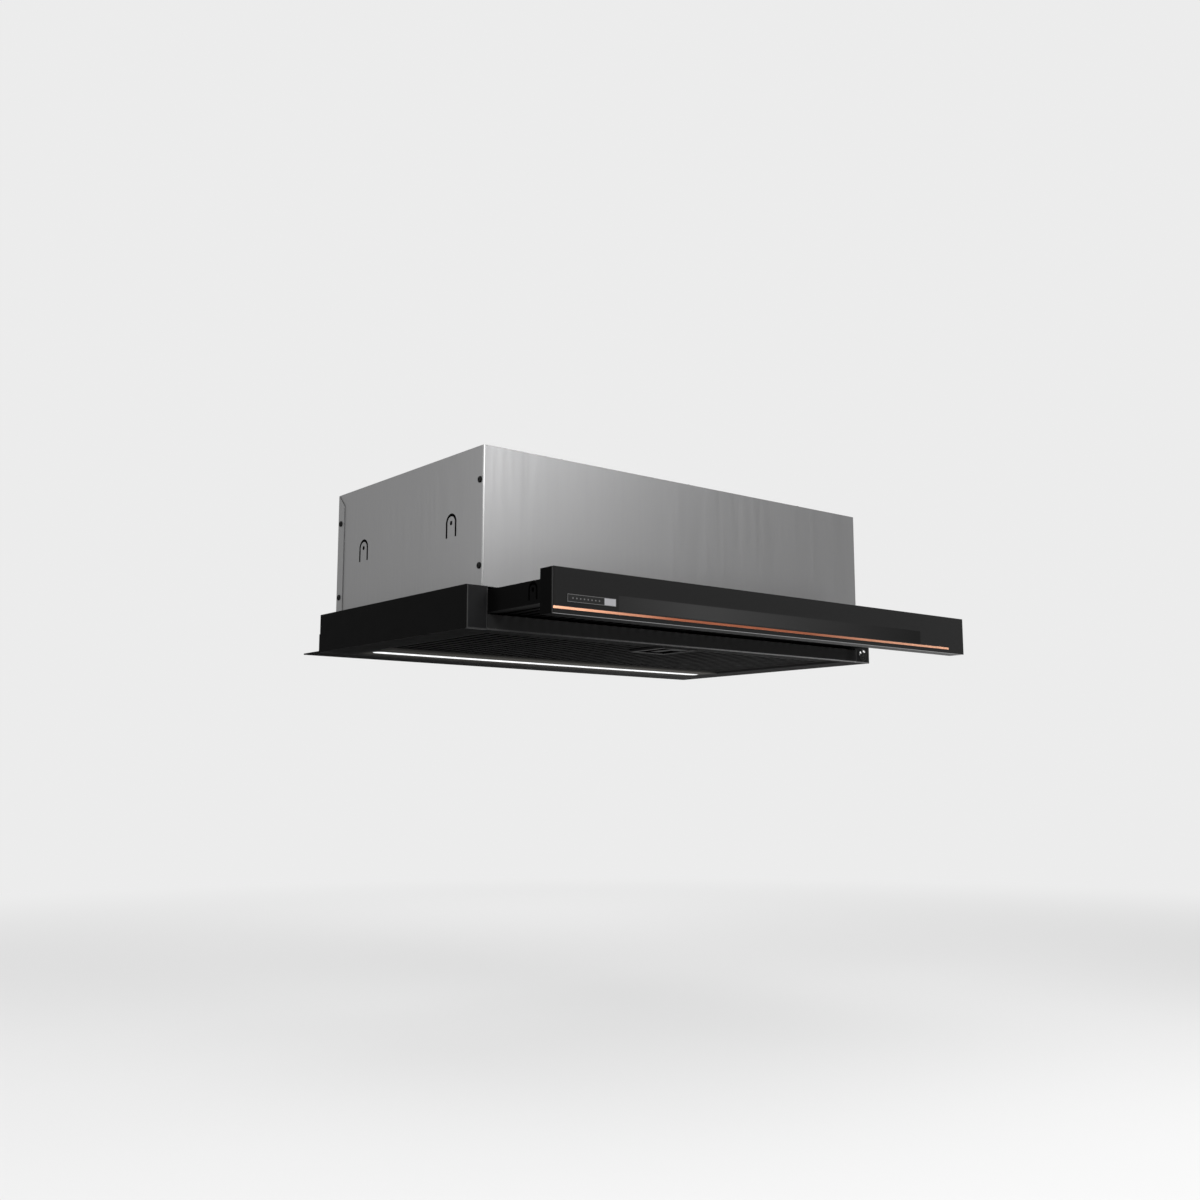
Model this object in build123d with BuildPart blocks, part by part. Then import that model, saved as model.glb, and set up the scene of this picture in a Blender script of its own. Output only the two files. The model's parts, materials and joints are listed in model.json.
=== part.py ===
from build123d import *
import os
from math import cos, radians, sin

# Telescopic range hood for a 600 mm wall cabinet, with its front pulled open. All sizes are in millimetres.
# The origin is on the underside, at the centre of the width, in line with the front of the fixed body.
# X points right for someone who faces the hood, Y points back to the wall and Z points up.

# Stock and fits
sheet = 1.0
moulding = 2.0
gap = 0.3
running_fit = 0.05
edge_break = 0.6

# Lower tray
body_width = 598.0
body_depth = 300.0
tray_height = 42.6
seat_width = 14.0
end_plate_width = 24.0
end_plate_thickness = 3.0
rail_height = 15.5
rail_flange = 8.0

# Upper box
box_inset = 20.0
box_setback = 2.0
box_height = 140.8
box_fold = 12.0
corner_return = 2.0
lap_width = 14.0
fold_radius = 0.9

# Screws of the box
screw_head_radius = 3.3
screw_head_height = 1.6
screw_radius = 1.6
screw_hole_radius = 1.8
screw_length = 5.0
screw_inset_y = 6.5
screw_inset_low = 20.8
screw_inset_high = 34.3
top_screw_spacing = 180.0

# Tongues that take the cabinet screws
tab_spacing = 180.0
tab_height = 70.9
tab_width = 19.6
tab_slot = 2.9
tab_leg = 14.7
tab_hole_radius = 2.3

# Angle strip that fills the gap between the body and the wall
filler_depth = 39.0
filler_height = 20.5
filler_thickness = 1.5
filler_screw_spacing = 200.0
filler_screw_z = 13.5

# Window of the grease filter in the bottom plate
window_side_border = 39.0
window_front = 10.0
window_rear_border = 71.0
window_lip = 8.0

# Grease filter
filter_clearance = 1.0
filter_recess = 2.5
filter_height = 12.0
filter_sheet = 0.8
filter_side_border = 8.5
filter_front_border = 30.0
filter_rear_border = 8.0
louvre_pitch = 12.5
louvre_slot = 5.0
face_lip = 3.6
baffle_lip = 2.0
filter_pin_inset = 6.0
filter_pin_height = 1.7
filter_pin_radius = 1.2

# Handle and latch of the grease filter
handle_front = 11.0
handle_width = 54.0
handle_depth = 58.0
handle_recess_width = 40.0
handle_recess_depth = 47.0
handle_recess_front = 3.0
handle_wall = 1.8
handle_rim = 2.3
handle_height = 11.1
latch_bar_width = 14.0
latch_bar_length = 41.0
latch_offset = 2.0
latch_recess = 0.6
latch_thickness = 3.0
latch_pad_width = 28.0
latch_pad_length = 18.0
latch_tongue_width = 11.0
latch_tongue_thickness = 2.0

# Lamp
lamp_end_border = 48.0
lamp_width = 18.0
lamp_inset = 38.5
lamp_wall = 1.5
lamp_flange = 3.0
lamp_height = 6.0
board_thickness = 1.2
diode_count = 24
diode_size = 3.0
driver_length = 90.0
driver_depth = 20.0
driver_height = 16.0
driver_x = 60.0
driver_inset = 2.0

# Pull-out front
front_open = 118.2
front_thickness = 20.0
front_height = 41.5
front_lift = 0.5
glass_thickness = 3.0
glass_bevel = 0.3
profile_web = 2.0
profile_wall = 1.5
cap_spigot = 6.0
accent_bottom = 4.0
accent_height = 3.0
accent_groove = 1.0
accent_proud = 0.2
accent_short = 29.0
badge_inset = 15.0
badge_width = 55.5
badge_bottom = 11.0
badge_height = 7.0
badge_thickness = 0.4
bumper_height = 2.0
bumper_radius = 4.0

# Drawer behind the pull-out front
drawer_side_gap = 1.3
drawer_bottom = 17.0
drawer_height = 22.4
drawer_overlap = 100.0
drawer_flange = 10.0
drawer_tab_inset = 46.9
drawer_tab_height = 13.9
drawer_tab_width = 14.8
drawer_tab_leg = 9.6
grille_border = 8.0

# Runners and rollers
runner_inset = 60.0
runner_reach = 2.5
roller_radius = 7.0
roller_width = 7.0
roller_spacing = 60.0
roller_inset = 15.0
axle_radius = 2.5
axle_shoulder = 3.0
axle_head_radius = 4.2
axle_head = 1.2

# Push button in the right end plate
button_inset = 11.8
button_z = 9.0
bezel_radius = 6.9
bezel_proud = 0.9
bezel_neck = 5.0
bezel_wall = 1.3
bezel_length = 8.0
button_proud = 1.4
button_length = 6.0
button_travel = 1.5

# Drawer switch
switch_width = 8.0
switch_depth = 15.0
switch_height = 20.0
switch_foot = 1.5
switch_post = 3.0
switch_tail = 6.0
plunger_radius = 1.5
plunger_reach = 3.4
plunger_length = 9.4
plunger_travel = 1.2

# Air outlet
duct_inset = 150.0
duct_outer_radius = 59.25
duct_height = 28.0
duct_flange_radius = 70.0
flap_ledge = 2.6
flap_bar_width = 8.0
flap_thickness = 1.5
flap_clearance = 1.2
flap_barrel_radius = 1.8
flap_axis_offset = 3.2
flap_pin_radius = 1.2
flap_pin_depth = 1.0

# Fan
fan_half_width = 57.0
volute_start = 55.0
volute_step = 5.0
tongue_angle = 110.0
mouth_front = 44.0
mouth_flange = 8.0
fan_floor_gap = 2.0
inlet_radius = 44.0
inlet_depth = 7.0
impeller_radius = 50.0
impeller_side_gap = 2.0
blade_count = 40
blade_length = 8.8
blade_thickness = 0.9
blade_angle = 35.0
impeller_ring_width = 8.0
hub_x = 5.0
hub_disc = 2.0
hub_radius = 10.0
hub_length = 16.0

# Motor
motor_radius = 35.0
motor_wall = 1.5
motor_inner_end = 4.0
motor_length = 62.0
bearing_radius = 11.0
bearing_length = 7.0
shaft_radius = 4.0
shaft_thread = 4.0
rotor_radius = 18.0
rotor_length = 34.0
rotor_gap = 0.6
winding_overhang = 5.0
winding_radius = 30.0
bracket_ring = 4.0
bracket_thickness = 3.0
bracket_arm = 12.0
bracket_reach = 8.0
nut_radius = 7.5
nut_thickness = 4.0

# Electrical parts in the box
capacitor_radius = 15.0
capacitor_length = 46.0
capacitor_side_gap = 113.0
capacitor_height = 47.4
terminal_radius = 2.0
terminal_length = 5.0
controls_side_gap = 18.0
controls_width = 110.0
controls_depth = 52.0
controls_height = 64.0
controls_lift = 20.0
gland_inset = 45.0
gland_neck_radius = 6.0
gland_head_radius = 9.0
gland_height = 12.0
gland_nut = 4.0
cable_hole_radius = 3.7

# Places of the body, worked out from the sizes above
half_body = body_width / 2
half_box = half_body - box_inset
half_window = half_body - window_side_border
window_rear = body_depth - window_rear_border
wall_inside = half_body - sheet
seat_edge = half_box - seat_width
end_plate_edge = wall_inside - end_plate_width
box_top = tray_height + box_height
top_surface = box_top - sheet
top_underside = top_surface - sheet
side_front = box_setback + corner_return
side_rear = body_depth - sheet
lap_front = body_depth - lap_width
rear_screw_y = body_depth - screw_inset_y
front_screw_y = box_setback + screw_inset_y
screw_heights = (tray_height + screw_inset_low, box_top - screw_inset_high)
top_screw_x = (-top_screw_spacing, 0, top_screw_spacing)
top_screws = [(x, y) for x in top_screw_x for y in (front_screw_y, rear_screw_y)]
filler_screw_x = (-filler_screw_spacing, 0, filler_screw_spacing)
capacitor_x = -(half_box - sheet - capacitor_side_gap - capacitor_radius)
controls_x = half_box - sheet - controls_side_gap - controls_width / 2
lamp_length = body_width - 2 * lamp_end_border
lamp_y = body_depth - lamp_inset

# Places of the drawer when it is open
profile_rear = -front_open
glass_front = profile_rear - front_thickness
profile_front = glass_front + glass_thickness
front_bottom = front_lift
front_top = front_lift + front_height
drawer_top = drawer_bottom + drawer_height
drawer_outside = end_plate_edge - drawer_side_gap
drawer_inside = drawer_outside - sheet
drawer_rear = drawer_overlap
drawer_travel = front_open - bumper_height - gap
runner_z = drawer_bottom + drawer_height / 2
roller_places = (("front", drawer_rear - roller_inset - roller_spacing), ("rear", drawer_rear - roller_inset))
roller_face = drawer_outside + axle_shoulder + gap
axle_end = roller_face + roller_width + gap

# Places of the filter
filter_x = half_window - filter_clearance
filter_front = window_front + filter_clearance
filter_rear = window_rear - filter_clearance
filter_bottom = filter_recess
filter_floor = filter_recess + filter_sheet
filter_top = filter_recess + filter_height
louvre_count = int(2 * (filter_x - filter_side_border) / louvre_pitch)
filter_axis = (filter_rear - filter_pin_inset, filter_bottom + filter_pin_height)

# Places of the fan, whose shaft runs along X
duct_y = body_depth - duct_inset
duct_inner_radius = duct_outer_radius - moulding
fan_z = tray_height + sheet + fan_floor_gap + moulding + volute_start + volute_step
fan_y = duct_y - (volute_start + 3 * volute_step - mouth_front) / 2
fan_centre = (fan_y, fan_z)
mouth_rear_y = fan_y + volute_start + 3 * volute_step
mouth_front_y = fan_y - mouth_front
impeller_x = fan_half_width - inlet_depth - impeller_side_gap
ledge_top = top_surface + moulding


def save(piece, label):
    piece.part.label = label
    export_step(piece.part, f"parts/{label}.step")


def block(low, high, mode=Mode.ADD):
    """Adds a rectangular block between two opposite corners."""
    sizes = [abs(b - a) for a, b in zip(low, high)]
    middle = tuple((a + b) / 2 for a, b in zip(low, high))
    with Locations(middle):
        Box(*sizes, mode=mode)


def disc(plane, centre, radius, thickness, mode=Mode.ADD):
    """Adds a cylinder from a plane along its normal, or back from it if thickness is negative."""
    with BuildSketch(plane) as outline:
        with Locations(centre):
            Circle(radius)
    extrude(outline.sketch, amount=thickness, mode=mode)


def ring(plane, centre, outer, inner, thickness):
    """Adds a tube from a plane along its normal, or back from it if thickness is negative."""
    with BuildSketch(plane) as outline:
        with Locations(centre):
            Circle(outer)
            Circle(inner, mode=Mode.SUBTRACT)
    extrude(outline.sketch, amount=thickness)


def across(x):
    """The plane square to X at x, where a point is (y, z)."""
    return Plane.YZ.offset(x)


def level(z):
    """The horizontal plane at height z, where a point is (x, y)."""
    return Plane.XY.offset(z)


def along_y(centre, radius, front, rear, mode=Mode.ADD):
    """Adds a cylinder along Y between two places, at centre (x, z)."""
    with Locations((centre[0], (front + rear) / 2, centre[1])):
        Cylinder(radius, rear - front, rotation=(90, 0, 0), mode=mode)


def arch_slot(plane, centres, width, leg, thickness):
    """Cuts an upside-down U, which leaves a tongue in the sheet, and the hole in the tongue."""
    with BuildSketch(plane) as outline:
        with Locations(*centres):
            Circle(width / 2)
            Rectangle(width, leg, align=(Align.CENTER, Align.MAX))
            Circle(width / 2 - tab_slot, mode=Mode.SUBTRACT)
            Rectangle(width - 2 * tab_slot, leg, align=(Align.CENTER, Align.MAX), mode=Mode.SUBTRACT)
            Circle(tab_hole_radius)
    extrude(outline.sketch, amount=thickness, mode=Mode.SUBTRACT)


def louvred_sheet(low, high, slot_front, slot_rear, count, lip):
    """Adds a slotted sheet with a lip along each side of a slot, below the sheet if lip is negative."""
    length = slot_rear - slot_front
    lip_base = high[2] if lip > 0 else low[2]
    lip_offset = (louvre_slot + filter_sheet) / 2
    block(low, high)
    with BuildSketch(level(low[2])) as slots:
        with Locations((0, (slot_front + slot_rear) / 2)):
            with GridLocations(louvre_pitch, length, count, 1):
                Rectangle(louvre_slot, length)
    extrude(slots.sketch, amount=filter_sheet, mode=Mode.SUBTRACT)
    with BuildSketch(level(lip_base)) as lips:
        with Locations((0, (slot_front + slot_rear) / 2)):
            with GridLocations(louvre_pitch, length, count, 1):
                with Locations((-lip_offset, 0), (lip_offset, 0)):
                    Rectangle(filter_sheet, length)
    extrude(lips.sketch, amount=lip)


def volute(grow):
    """The inside of the fan scroll seen along the shaft, grown by grow, as a flat sketch."""
    angle = radians(tongue_angle)
    tongue = (fan_y + volute_start * cos(angle), fan_z + volute_start * sin(angle))
    with BuildSketch(Plane.YZ) as outline:
        with BuildLine():
            front = JernArc(tongue, (-sin(angle), cos(angle)), volute_start, 180 - tongue_angle)
            floor = JernArc(front @ 1, front % 1, volute_start + volute_step, 90)
            rear = JernArc(floor @ 1, floor % 1, volute_start + 2 * volute_step, 90)
            Polyline(rear @ 1, (mouth_rear_y, top_underside), (mouth_front_y, top_underside), tongue)
        make_face()
        if grow > 0:
            offset(amount=grow)
    return outline.sketch


os.makedirs("parts", exist_ok=True)

# Box sides, each with two tongues for the cabinet screws and flanges folded inwards
side_screws = [(y, z) for y in (front_screw_y, rear_screw_y) for z in screw_heights]
tab_centres = [(body_depth / 2 + step * tab_spacing / 2, tray_height + tab_height) for step in (-1, 1)]
for label, side in (("box_left_side", -1), ("box_right_side", 1)):
    with BuildPart() as box_side:
        block((side * half_box, side_front, tray_height), (side * (half_box - sheet), side_rear, box_top))
        for z in (tray_height, top_surface):
            block((side * half_box, box_setback + box_fold + gap, z),
                  (side * (half_box - box_fold), body_depth - box_fold - gap, z + sheet))
        arch_slot(across(side * half_box), tab_centres, tab_width, tab_leg, -side * sheet)
        for centre in side_screws:
            disc(across(side * half_box), centre, screw_hole_radius, -side * sheet, Mode.SUBTRACT)
    save(box_side, label)

# Box front, folded back at the corners, at the top and at the foot
with BuildPart() as box_front_panel:
    with BuildSketch(level(tray_height)) as plan:
        with BuildLine():
            Polyline((0, box_setback), (half_box, box_setback), (half_box, side_front),
                     (half_box - sheet, side_front), (half_box - sheet, box_setback + box_fold),
                     (half_box - 2 * sheet, box_setback + box_fold),
                     (half_box - 2 * sheet, box_setback + sheet),
                     (0, box_setback + sheet))
            mirror(about=Plane.YZ)
        make_face()
        fillet(plan.vertices().group_by(Axis.Y)[0].filter_by(lambda v: abs(v.X) > seat_edge), fold_radius)
    extrude(amount=box_height)
    for z in (tray_height, top_surface):
        block((-half_box + 2 * sheet, box_setback + sheet, z),
              (half_box - 2 * sheet, box_setback + box_fold, z + sheet))
    fillet(edges().filter_by(Axis.X).group_by(Axis.Y)[0].sort_by(Axis.Z)[-1], edge_break)
    for side in (-1, 1):
        for z in screw_heights:
            disc(across(side * (half_box - sheet)), (front_screw_y, z), screw_radius, -side * sheet,
                 Mode.SUBTRACT)
    for centre in top_screws:
        disc(level(top_surface), centre, screw_hole_radius, sheet, Mode.SUBTRACT)
save(box_front_panel, "box_front_panel")

# Box rear, with flanges that lap over the sides and end in a mitre at the top
with BuildPart() as box_rear_panel:
    with BuildSketch(level(tray_height)) as plan:
        with BuildLine():
            Polyline((0, body_depth), (half_box + sheet, body_depth), (half_box + sheet, lap_front),
                     (half_box, lap_front), (half_box, side_rear), (0, side_rear))
            mirror(about=Plane.YZ)
        make_face()
        fillet(plan.vertices().group_by(Axis.Y)[-1].filter_by(lambda v: abs(v.X) > half_box), fold_radius)
    extrude(amount=box_height)
    for z in (tray_height, top_surface):
        block((-half_box + 2 * sheet, body_depth - box_fold, z), (half_box - 2 * sheet, side_rear, z + sheet))
    for side in (-1, 1):
        with BuildSketch(across(side * half_box)) as mitre:
            with BuildLine():
                Polyline((body_depth, box_top), (lap_front, box_top), (lap_front, box_top - lap_width),
                         close=True)
            make_face()
        extrude(amount=side * 2 * sheet, mode=Mode.SUBTRACT)
        for z in screw_heights:
            disc(across(side * half_box), (rear_screw_y, z), screw_hole_radius, side * sheet, Mode.SUBTRACT)
    for centre in top_screws:
        disc(level(top_surface), centre, screw_hole_radius, sheet, Mode.SUBTRACT)
save(box_rear_panel, "box_rear_panel")

# Box top, which lies under the folded flanges
top_half_width = half_box - 2 * sheet - gap
gland_centre = (controls_x, body_depth - gland_inset)
with BuildPart() as box_top_panel:
    block((-top_half_width, box_setback + sheet + gap, top_underside),
          (top_half_width, side_rear - gap, top_surface))
    disc(level(top_underside), (0, duct_y), duct_inner_radius, sheet, Mode.SUBTRACT)
    disc(level(top_underside), gland_centre, gland_neck_radius + gap, sheet, Mode.SUBTRACT)
    for centre in top_screws:
        disc(level(top_underside), centre, screw_radius, sheet, Mode.SUBTRACT)
save(box_top_panel, "box_top_panel")

# Tray sides, each with the flange that carries the box
for label, side in (("tray_left_wall", -1), ("tray_right_wall", 1)):
    with BuildPart() as tray_wall:
        block((side * half_body, 0, 0), (side * wall_inside, body_depth, tray_height))
        block((side * wall_inside, end_plate_thickness, tray_height - sheet),
              (side * seat_edge, side_rear, tray_height))
        outer_edges = edges().filter_by(Axis.Y).filter_by(lambda e: abs(e.center().X) > wall_inside + edge_break)
        fillet(outer_edges.sort_by(Axis.Z)[-1], edge_break)
    save(tray_wall, label)

# Rear wall of the tray, with its own flange and the holes for the filler screws
with BuildPart() as tray_rear_wall:
    block((-wall_inside, side_rear, 0), (wall_inside, body_depth, tray_height))
    block((-seat_edge, body_depth - seat_width, tray_height - sheet), (seat_edge, side_rear, tray_height))
    for x in filler_screw_x:
        along_y((x, filler_screw_z), screw_radius, side_rear, body_depth, Mode.SUBTRACT)
save(tray_rear_wall, "tray_rear_wall")

# Moulded end plates beside the drawer opening, of which the right one holds the push button
button_x = wall_inside - button_inset
for label, side in (("left_end_plate", -1), ("right_end_plate", 1)):
    with BuildPart() as end_plate:
        block((side * end_plate_edge, 0, 0), (side * wall_inside, end_plate_thickness, tray_height))
        chamfer(faces().sort_by(Axis.Y)[0].edges(), edge_break)
        if side > 0:
            along_y((button_x, button_z), bezel_neck + gap, 0, end_plate_thickness, Mode.SUBTRACT)
    save(end_plate, label)

# Front rail under the drawer opening, which stands on the front of the bottom plate
with BuildPart() as front_rail:
    with BuildSketch(across(-end_plate_edge)) as section:
        with BuildLine():
            Polyline((0, sheet), (sheet, sheet), (sheet, rail_height - sheet),
                     (rail_flange, rail_height - sheet),
                     (rail_flange, rail_height), (0, rail_height), close=True)
        make_face()
        fillet(section.vertices().group_by(Axis.X)[0].sort_by(Axis.Y)[-1], edge_break)
    extrude(amount=2 * end_plate_edge)
save(front_rail, "front_rail")

# Bottom plate, with the lipped window of the filter and the slot of the lamp
with BuildPart() as bottom_plate:
    block((-wall_inside, 0, 0), (wall_inside, side_rear, sheet))
    for side in (-1, 1):
        block((side * end_plate_edge, 0, 0), (side * wall_inside, end_plate_thickness, sheet), Mode.SUBTRACT)
        block((side * half_window, window_front, 0), (side * (half_window + sheet), window_rear, window_lip))
    block((-half_window - sheet, window_rear, 0), (half_window + sheet, window_rear + sheet, window_lip))
    block((-half_window, window_front, 0), (half_window, window_rear, sheet), Mode.SUBTRACT)
    with BuildSketch():
        with Locations((0, lamp_y)):
            SlotOverall(lamp_length + 2 * gap, lamp_width + 2 * gap)
    extrude(amount=sheet, mode=Mode.SUBTRACT)
    for side in (-1, 1):
        disc(across(side * half_window), filter_axis, filter_pin_radius + running_fit, side * sheet,
             Mode.SUBTRACT)
save(bottom_plate, "bottom_plate")

# Angle strip that fills the gap to the wall
with BuildPart() as rear_filler:
    block((-half_body, body_depth, 0), (half_body, body_depth + filler_thickness, filler_height))
    block((-half_body, body_depth, 0), (half_body, body_depth + filler_depth, filler_thickness))
    for x in filler_screw_x:
        along_y((x, filler_screw_z), screw_hole_radius, body_depth, body_depth + filler_thickness,
                Mode.SUBTRACT)
save(rear_filler, "rear_filler")

# Screws, all alike: four in each side of the box, six in its top and three in the filler
filler_face = body_depth + filler_thickness
with BuildPart() as sheet_screws:
    for side in (-1, 1):
        for y, z in side_screws:
            head_plane = across(side * (half_box + sheet if y > lap_front else half_box))
            disc(head_plane, (y, z), screw_head_radius, side * screw_head_height)
            disc(head_plane, (y, z), screw_radius, -side * screw_length)
    for centre in top_screws:
        disc(level(box_top), centre, screw_head_radius, screw_head_height)
        disc(level(box_top), centre, screw_radius, -screw_length)
    for x in filler_screw_x:
        along_y((x, filler_screw_z), screw_head_radius, filler_face, filler_face + screw_head_height)
        along_y((x, filler_screw_z), screw_radius, filler_face - screw_length, filler_face)
save(sheet_screws, "sheet_screws")

# Runners, which are channels on the tray sides
channel_low = runner_z - roller_radius - gap
channel_high = runner_z + roller_radius + gap
runner_end = body_depth - runner_inset
for label, side in (("left_runner", -1), ("right_runner", 1)):
    with BuildPart() as runner:
        block((side * wall_inside, end_plate_thickness, channel_low - sheet),
              (side * (drawer_outside + runner_reach), runner_end, channel_high + sheet))
        block((side * (wall_inside - sheet), end_plate_thickness, channel_low),
              (side * (drawer_outside + runner_reach), runner_end, channel_high), Mode.SUBTRACT)
    save(runner, label)

# Drawer sides, each with a tongue near the front and holes for the roller axles
drawer_tab = (profile_rear + drawer_tab_inset, drawer_bottom + drawer_tab_height)
for label, side in (("drawer_left_side", -1), ("drawer_right_side", 1)):
    with BuildPart() as drawer_side:
        block((side * drawer_outside, profile_rear, drawer_bottom),
              (side * drawer_inside, drawer_rear, drawer_top))
        for z in (drawer_bottom, drawer_top - sheet):
            block((side * drawer_inside, profile_rear, z),
                  (side * (drawer_outside - drawer_flange), drawer_rear, z + sheet))
        block((side * drawer_inside, profile_rear, drawer_bottom),
              (side * (drawer_outside - drawer_flange), profile_rear + sheet, drawer_top))
        arch_slot(across(side * drawer_outside), [drawer_tab], drawer_tab_width, drawer_tab_leg,
                  -side * sheet)
        for place, y in roller_places:
            disc(across(side * drawer_outside), (y, runner_z), axle_radius, -side * sheet, Mode.SUBTRACT)
    save(drawer_side, label)

# Roller axles, which are shouldered rivets in the drawer sides
with BuildPart() as roller_axles:
    for side in (-1, 1):
        for place, y in roller_places:
            disc(across(side * drawer_inside), (y, runner_z), axle_head_radius, -side * axle_head)
            disc(across(side * drawer_inside), (y, runner_z), axle_radius, side * (axle_end - drawer_inside))
            disc(across(side * drawer_outside), (y, runner_z), axle_head_radius, side * axle_shoulder)
            disc(across(side * axle_end), (y, runner_z), axle_head_radius, side * axle_head)
save(roller_axles, "roller_axles")

# Rollers
for hand, side in (("left", -1), ("right", 1)):
    for place, y in roller_places:
        with BuildPart() as roller:
            ring(across(side * roller_face), (y, runner_z), roller_radius, axle_radius + running_fit,
                 side * roller_width)
            rims = edges().filter_by(GeomType.CIRCLE).filter_by(lambda e: e.radius > axle_head_radius)
            chamfer(rims, edge_break)
        save(roller, f"{hand}_{place}_roller")

# Rear bar of the drawer
with BuildPart() as drawer_rear_bar:
    block((-drawer_inside, drawer_rear - sheet, drawer_bottom + sheet),
          (drawer_inside, drawer_rear, drawer_top - sheet))
    block((-drawer_outside + drawer_flange + gap, drawer_rear - drawer_flange, drawer_top - 2 * sheet),
          (drawer_outside - drawer_flange - gap, drawer_rear - sheet, drawer_top - sheet))
save(drawer_rear_bar, "drawer_rear_bar")

# Louvred floor of the drawer, which lies on the lower flanges of its sides
grille_front = profile_rear + sheet + gap
grille_rear = drawer_rear - sheet - gap
grille_floor = drawer_bottom + sheet
with BuildPart() as drawer_grille:
    louvred_sheet((-drawer_inside + gap, grille_front, grille_floor),
                  (drawer_inside - gap, grille_rear, grille_floor + filter_sheet),
                  grille_front + grille_border, grille_rear - grille_border, louvre_count + 1, face_lip)
save(drawer_grille, "drawer_grille")

# Aluminium profile of the front, a flat tube behind the glass
with BuildPart() as front_profile:
    block((-half_body + profile_wall, profile_front, front_bottom),
          (half_body - profile_wall, profile_rear, front_top))
    block((-half_body, profile_front, front_bottom), (half_body, profile_front + profile_web, front_top))
    block((-half_body, profile_front + profile_web, front_bottom + profile_wall),
          (half_body, profile_rear - profile_wall, front_top - profile_wall), Mode.SUBTRACT)
save(front_profile, "front_profile")

# End caps of the profile, each with a spigot inside the tube
spigot_end = half_body - profile_wall - cap_spigot
with BuildPart() as profile_end_caps:
    for side in (-1, 1):
        block((side * half_body, profile_front + profile_web, front_bottom),
              (side * (half_body - profile_wall), profile_rear, front_top))
        block((side * (half_body - profile_wall), profile_front + profile_web + gap,
               front_bottom + profile_wall + gap),
              (side * spigot_end, profile_rear - profile_wall - gap, front_top - profile_wall - gap))
save(profile_end_caps, "profile_end_caps")

# Glass of the front, with a bevelled outline and a groove for the accent strip
accent_end = half_body - accent_short
accent_z = front_bottom + accent_bottom
with BuildPart() as glass_panel:
    block((-half_body, glass_front, front_bottom), (half_body, profile_front, front_top))
    chamfer(faces().sort_by(Axis.Y)[0].edges(), glass_bevel)
    block((-half_body, glass_front, accent_z),
          (accent_end, glass_front + accent_groove, accent_z + accent_height),
          Mode.SUBTRACT)
save(glass_panel, "glass_panel")

with BuildPart() as accent_strip:
    block((-half_body, glass_front - accent_proud, accent_z),
          (accent_end, glass_front + accent_groove, accent_z + accent_height))
save(accent_strip, "accent_strip")

# Small bare plate on the glass
badge_x = -half_body + badge_inset
badge_z = front_bottom + badge_bottom
with BuildPart() as badge_plate:
    block((badge_x, glass_front - badge_thickness, badge_z),
          (badge_x + badge_width, glass_front, badge_z + badge_height))
save(badge_plate, "badge_plate")

# Rubber bumpers on the back of the profile, which meet the end plates when the drawer is shut
bumper_x = end_plate_edge + end_plate_width / 2
with BuildPart() as drawer_bumpers:
    for side in (-1, 1):
        along_y((side * bumper_x, runner_z), bumper_radius, profile_rear, profile_rear + bumper_height)
save(drawer_bumpers, "drawer_bumpers")

# Places of the filter's handle and latch. The latch stops short of the window's edge.
handle_y = filter_front + handle_front
recess_front = handle_y + handle_recess_front
recess_rear = recess_front + handle_recess_depth
recess_x = handle_recess_width / 2
cup_x = recess_x + handle_wall
cup_front = recess_front - handle_wall
cup_rear = recess_rear + handle_wall
handle_bottom = filter_bottom - handle_rim
handle_top = handle_bottom + handle_height
tongue_x = (-latch_offset - latch_tongue_width / 2, -latch_offset + latch_tongue_width / 2)
tongue_tip = window_front + gap
tongue_bottom = handle_bottom + latch_recess + latch_thickness
tongue_top = tongue_bottom + latch_tongue_thickness

# Face of the filter, a slotted tray with pins on which it swings
with BuildPart() as filter_face:
    louvred_sheet((-filter_x, filter_front, filter_bottom), (filter_x, filter_rear, filter_floor),
                  filter_front + filter_front_border, filter_rear - filter_rear_border, louvre_count,
                  face_lip)
    for side in (-1, 1):
        block((side * filter_x, filter_front, filter_floor),
              (side * (filter_x - filter_sheet), filter_rear, filter_top))
        disc(across(side * (filter_x - filter_sheet)), filter_axis, filter_pin_radius,
             side * (filter_sheet + filter_clearance + sheet + edge_break))
    block((-filter_x, filter_rear - filter_sheet, filter_floor), (filter_x, filter_rear, filter_top))
    block((-filter_x, filter_front, filter_floor), (filter_x, filter_front + filter_sheet, filter_top))
    block((tongue_x[0] - gap, filter_front, filter_floor),
          (tongue_x[1] + gap, filter_front + filter_sheet, tongue_top + gap), Mode.SUBTRACT)
    block((-handle_width / 2, handle_y, filter_bottom),
          (handle_width / 2, handle_y + handle_depth, filter_floor))
    block((-handle_width / 2, handle_y, filter_floor),
          (handle_width / 2, handle_y + handle_depth, filter_floor + face_lip), Mode.SUBTRACT)
    block((-cup_x - gap, cup_front - gap, filter_bottom), (cup_x + gap, cup_rear + gap, filter_floor),
          Mode.SUBTRACT)
save(filter_face, "filter_face")

# Baffles of the filter, set half a pitch aside from the slots of its face
baffle_x = filter_x - filter_sheet - gap
baffle_front = filter_front + filter_sheet + gap
baffle_rear = filter_rear - filter_sheet - gap
with BuildPart() as filter_baffles:
    louvred_sheet((-baffle_x, baffle_front, filter_top - filter_sheet), (baffle_x, baffle_rear, filter_top),
                  filter_front + filter_rear_border, filter_rear - filter_rear_border, louvre_count - 1,
                  -baffle_lip)
save(filter_baffles, "filter_baffles")

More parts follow.
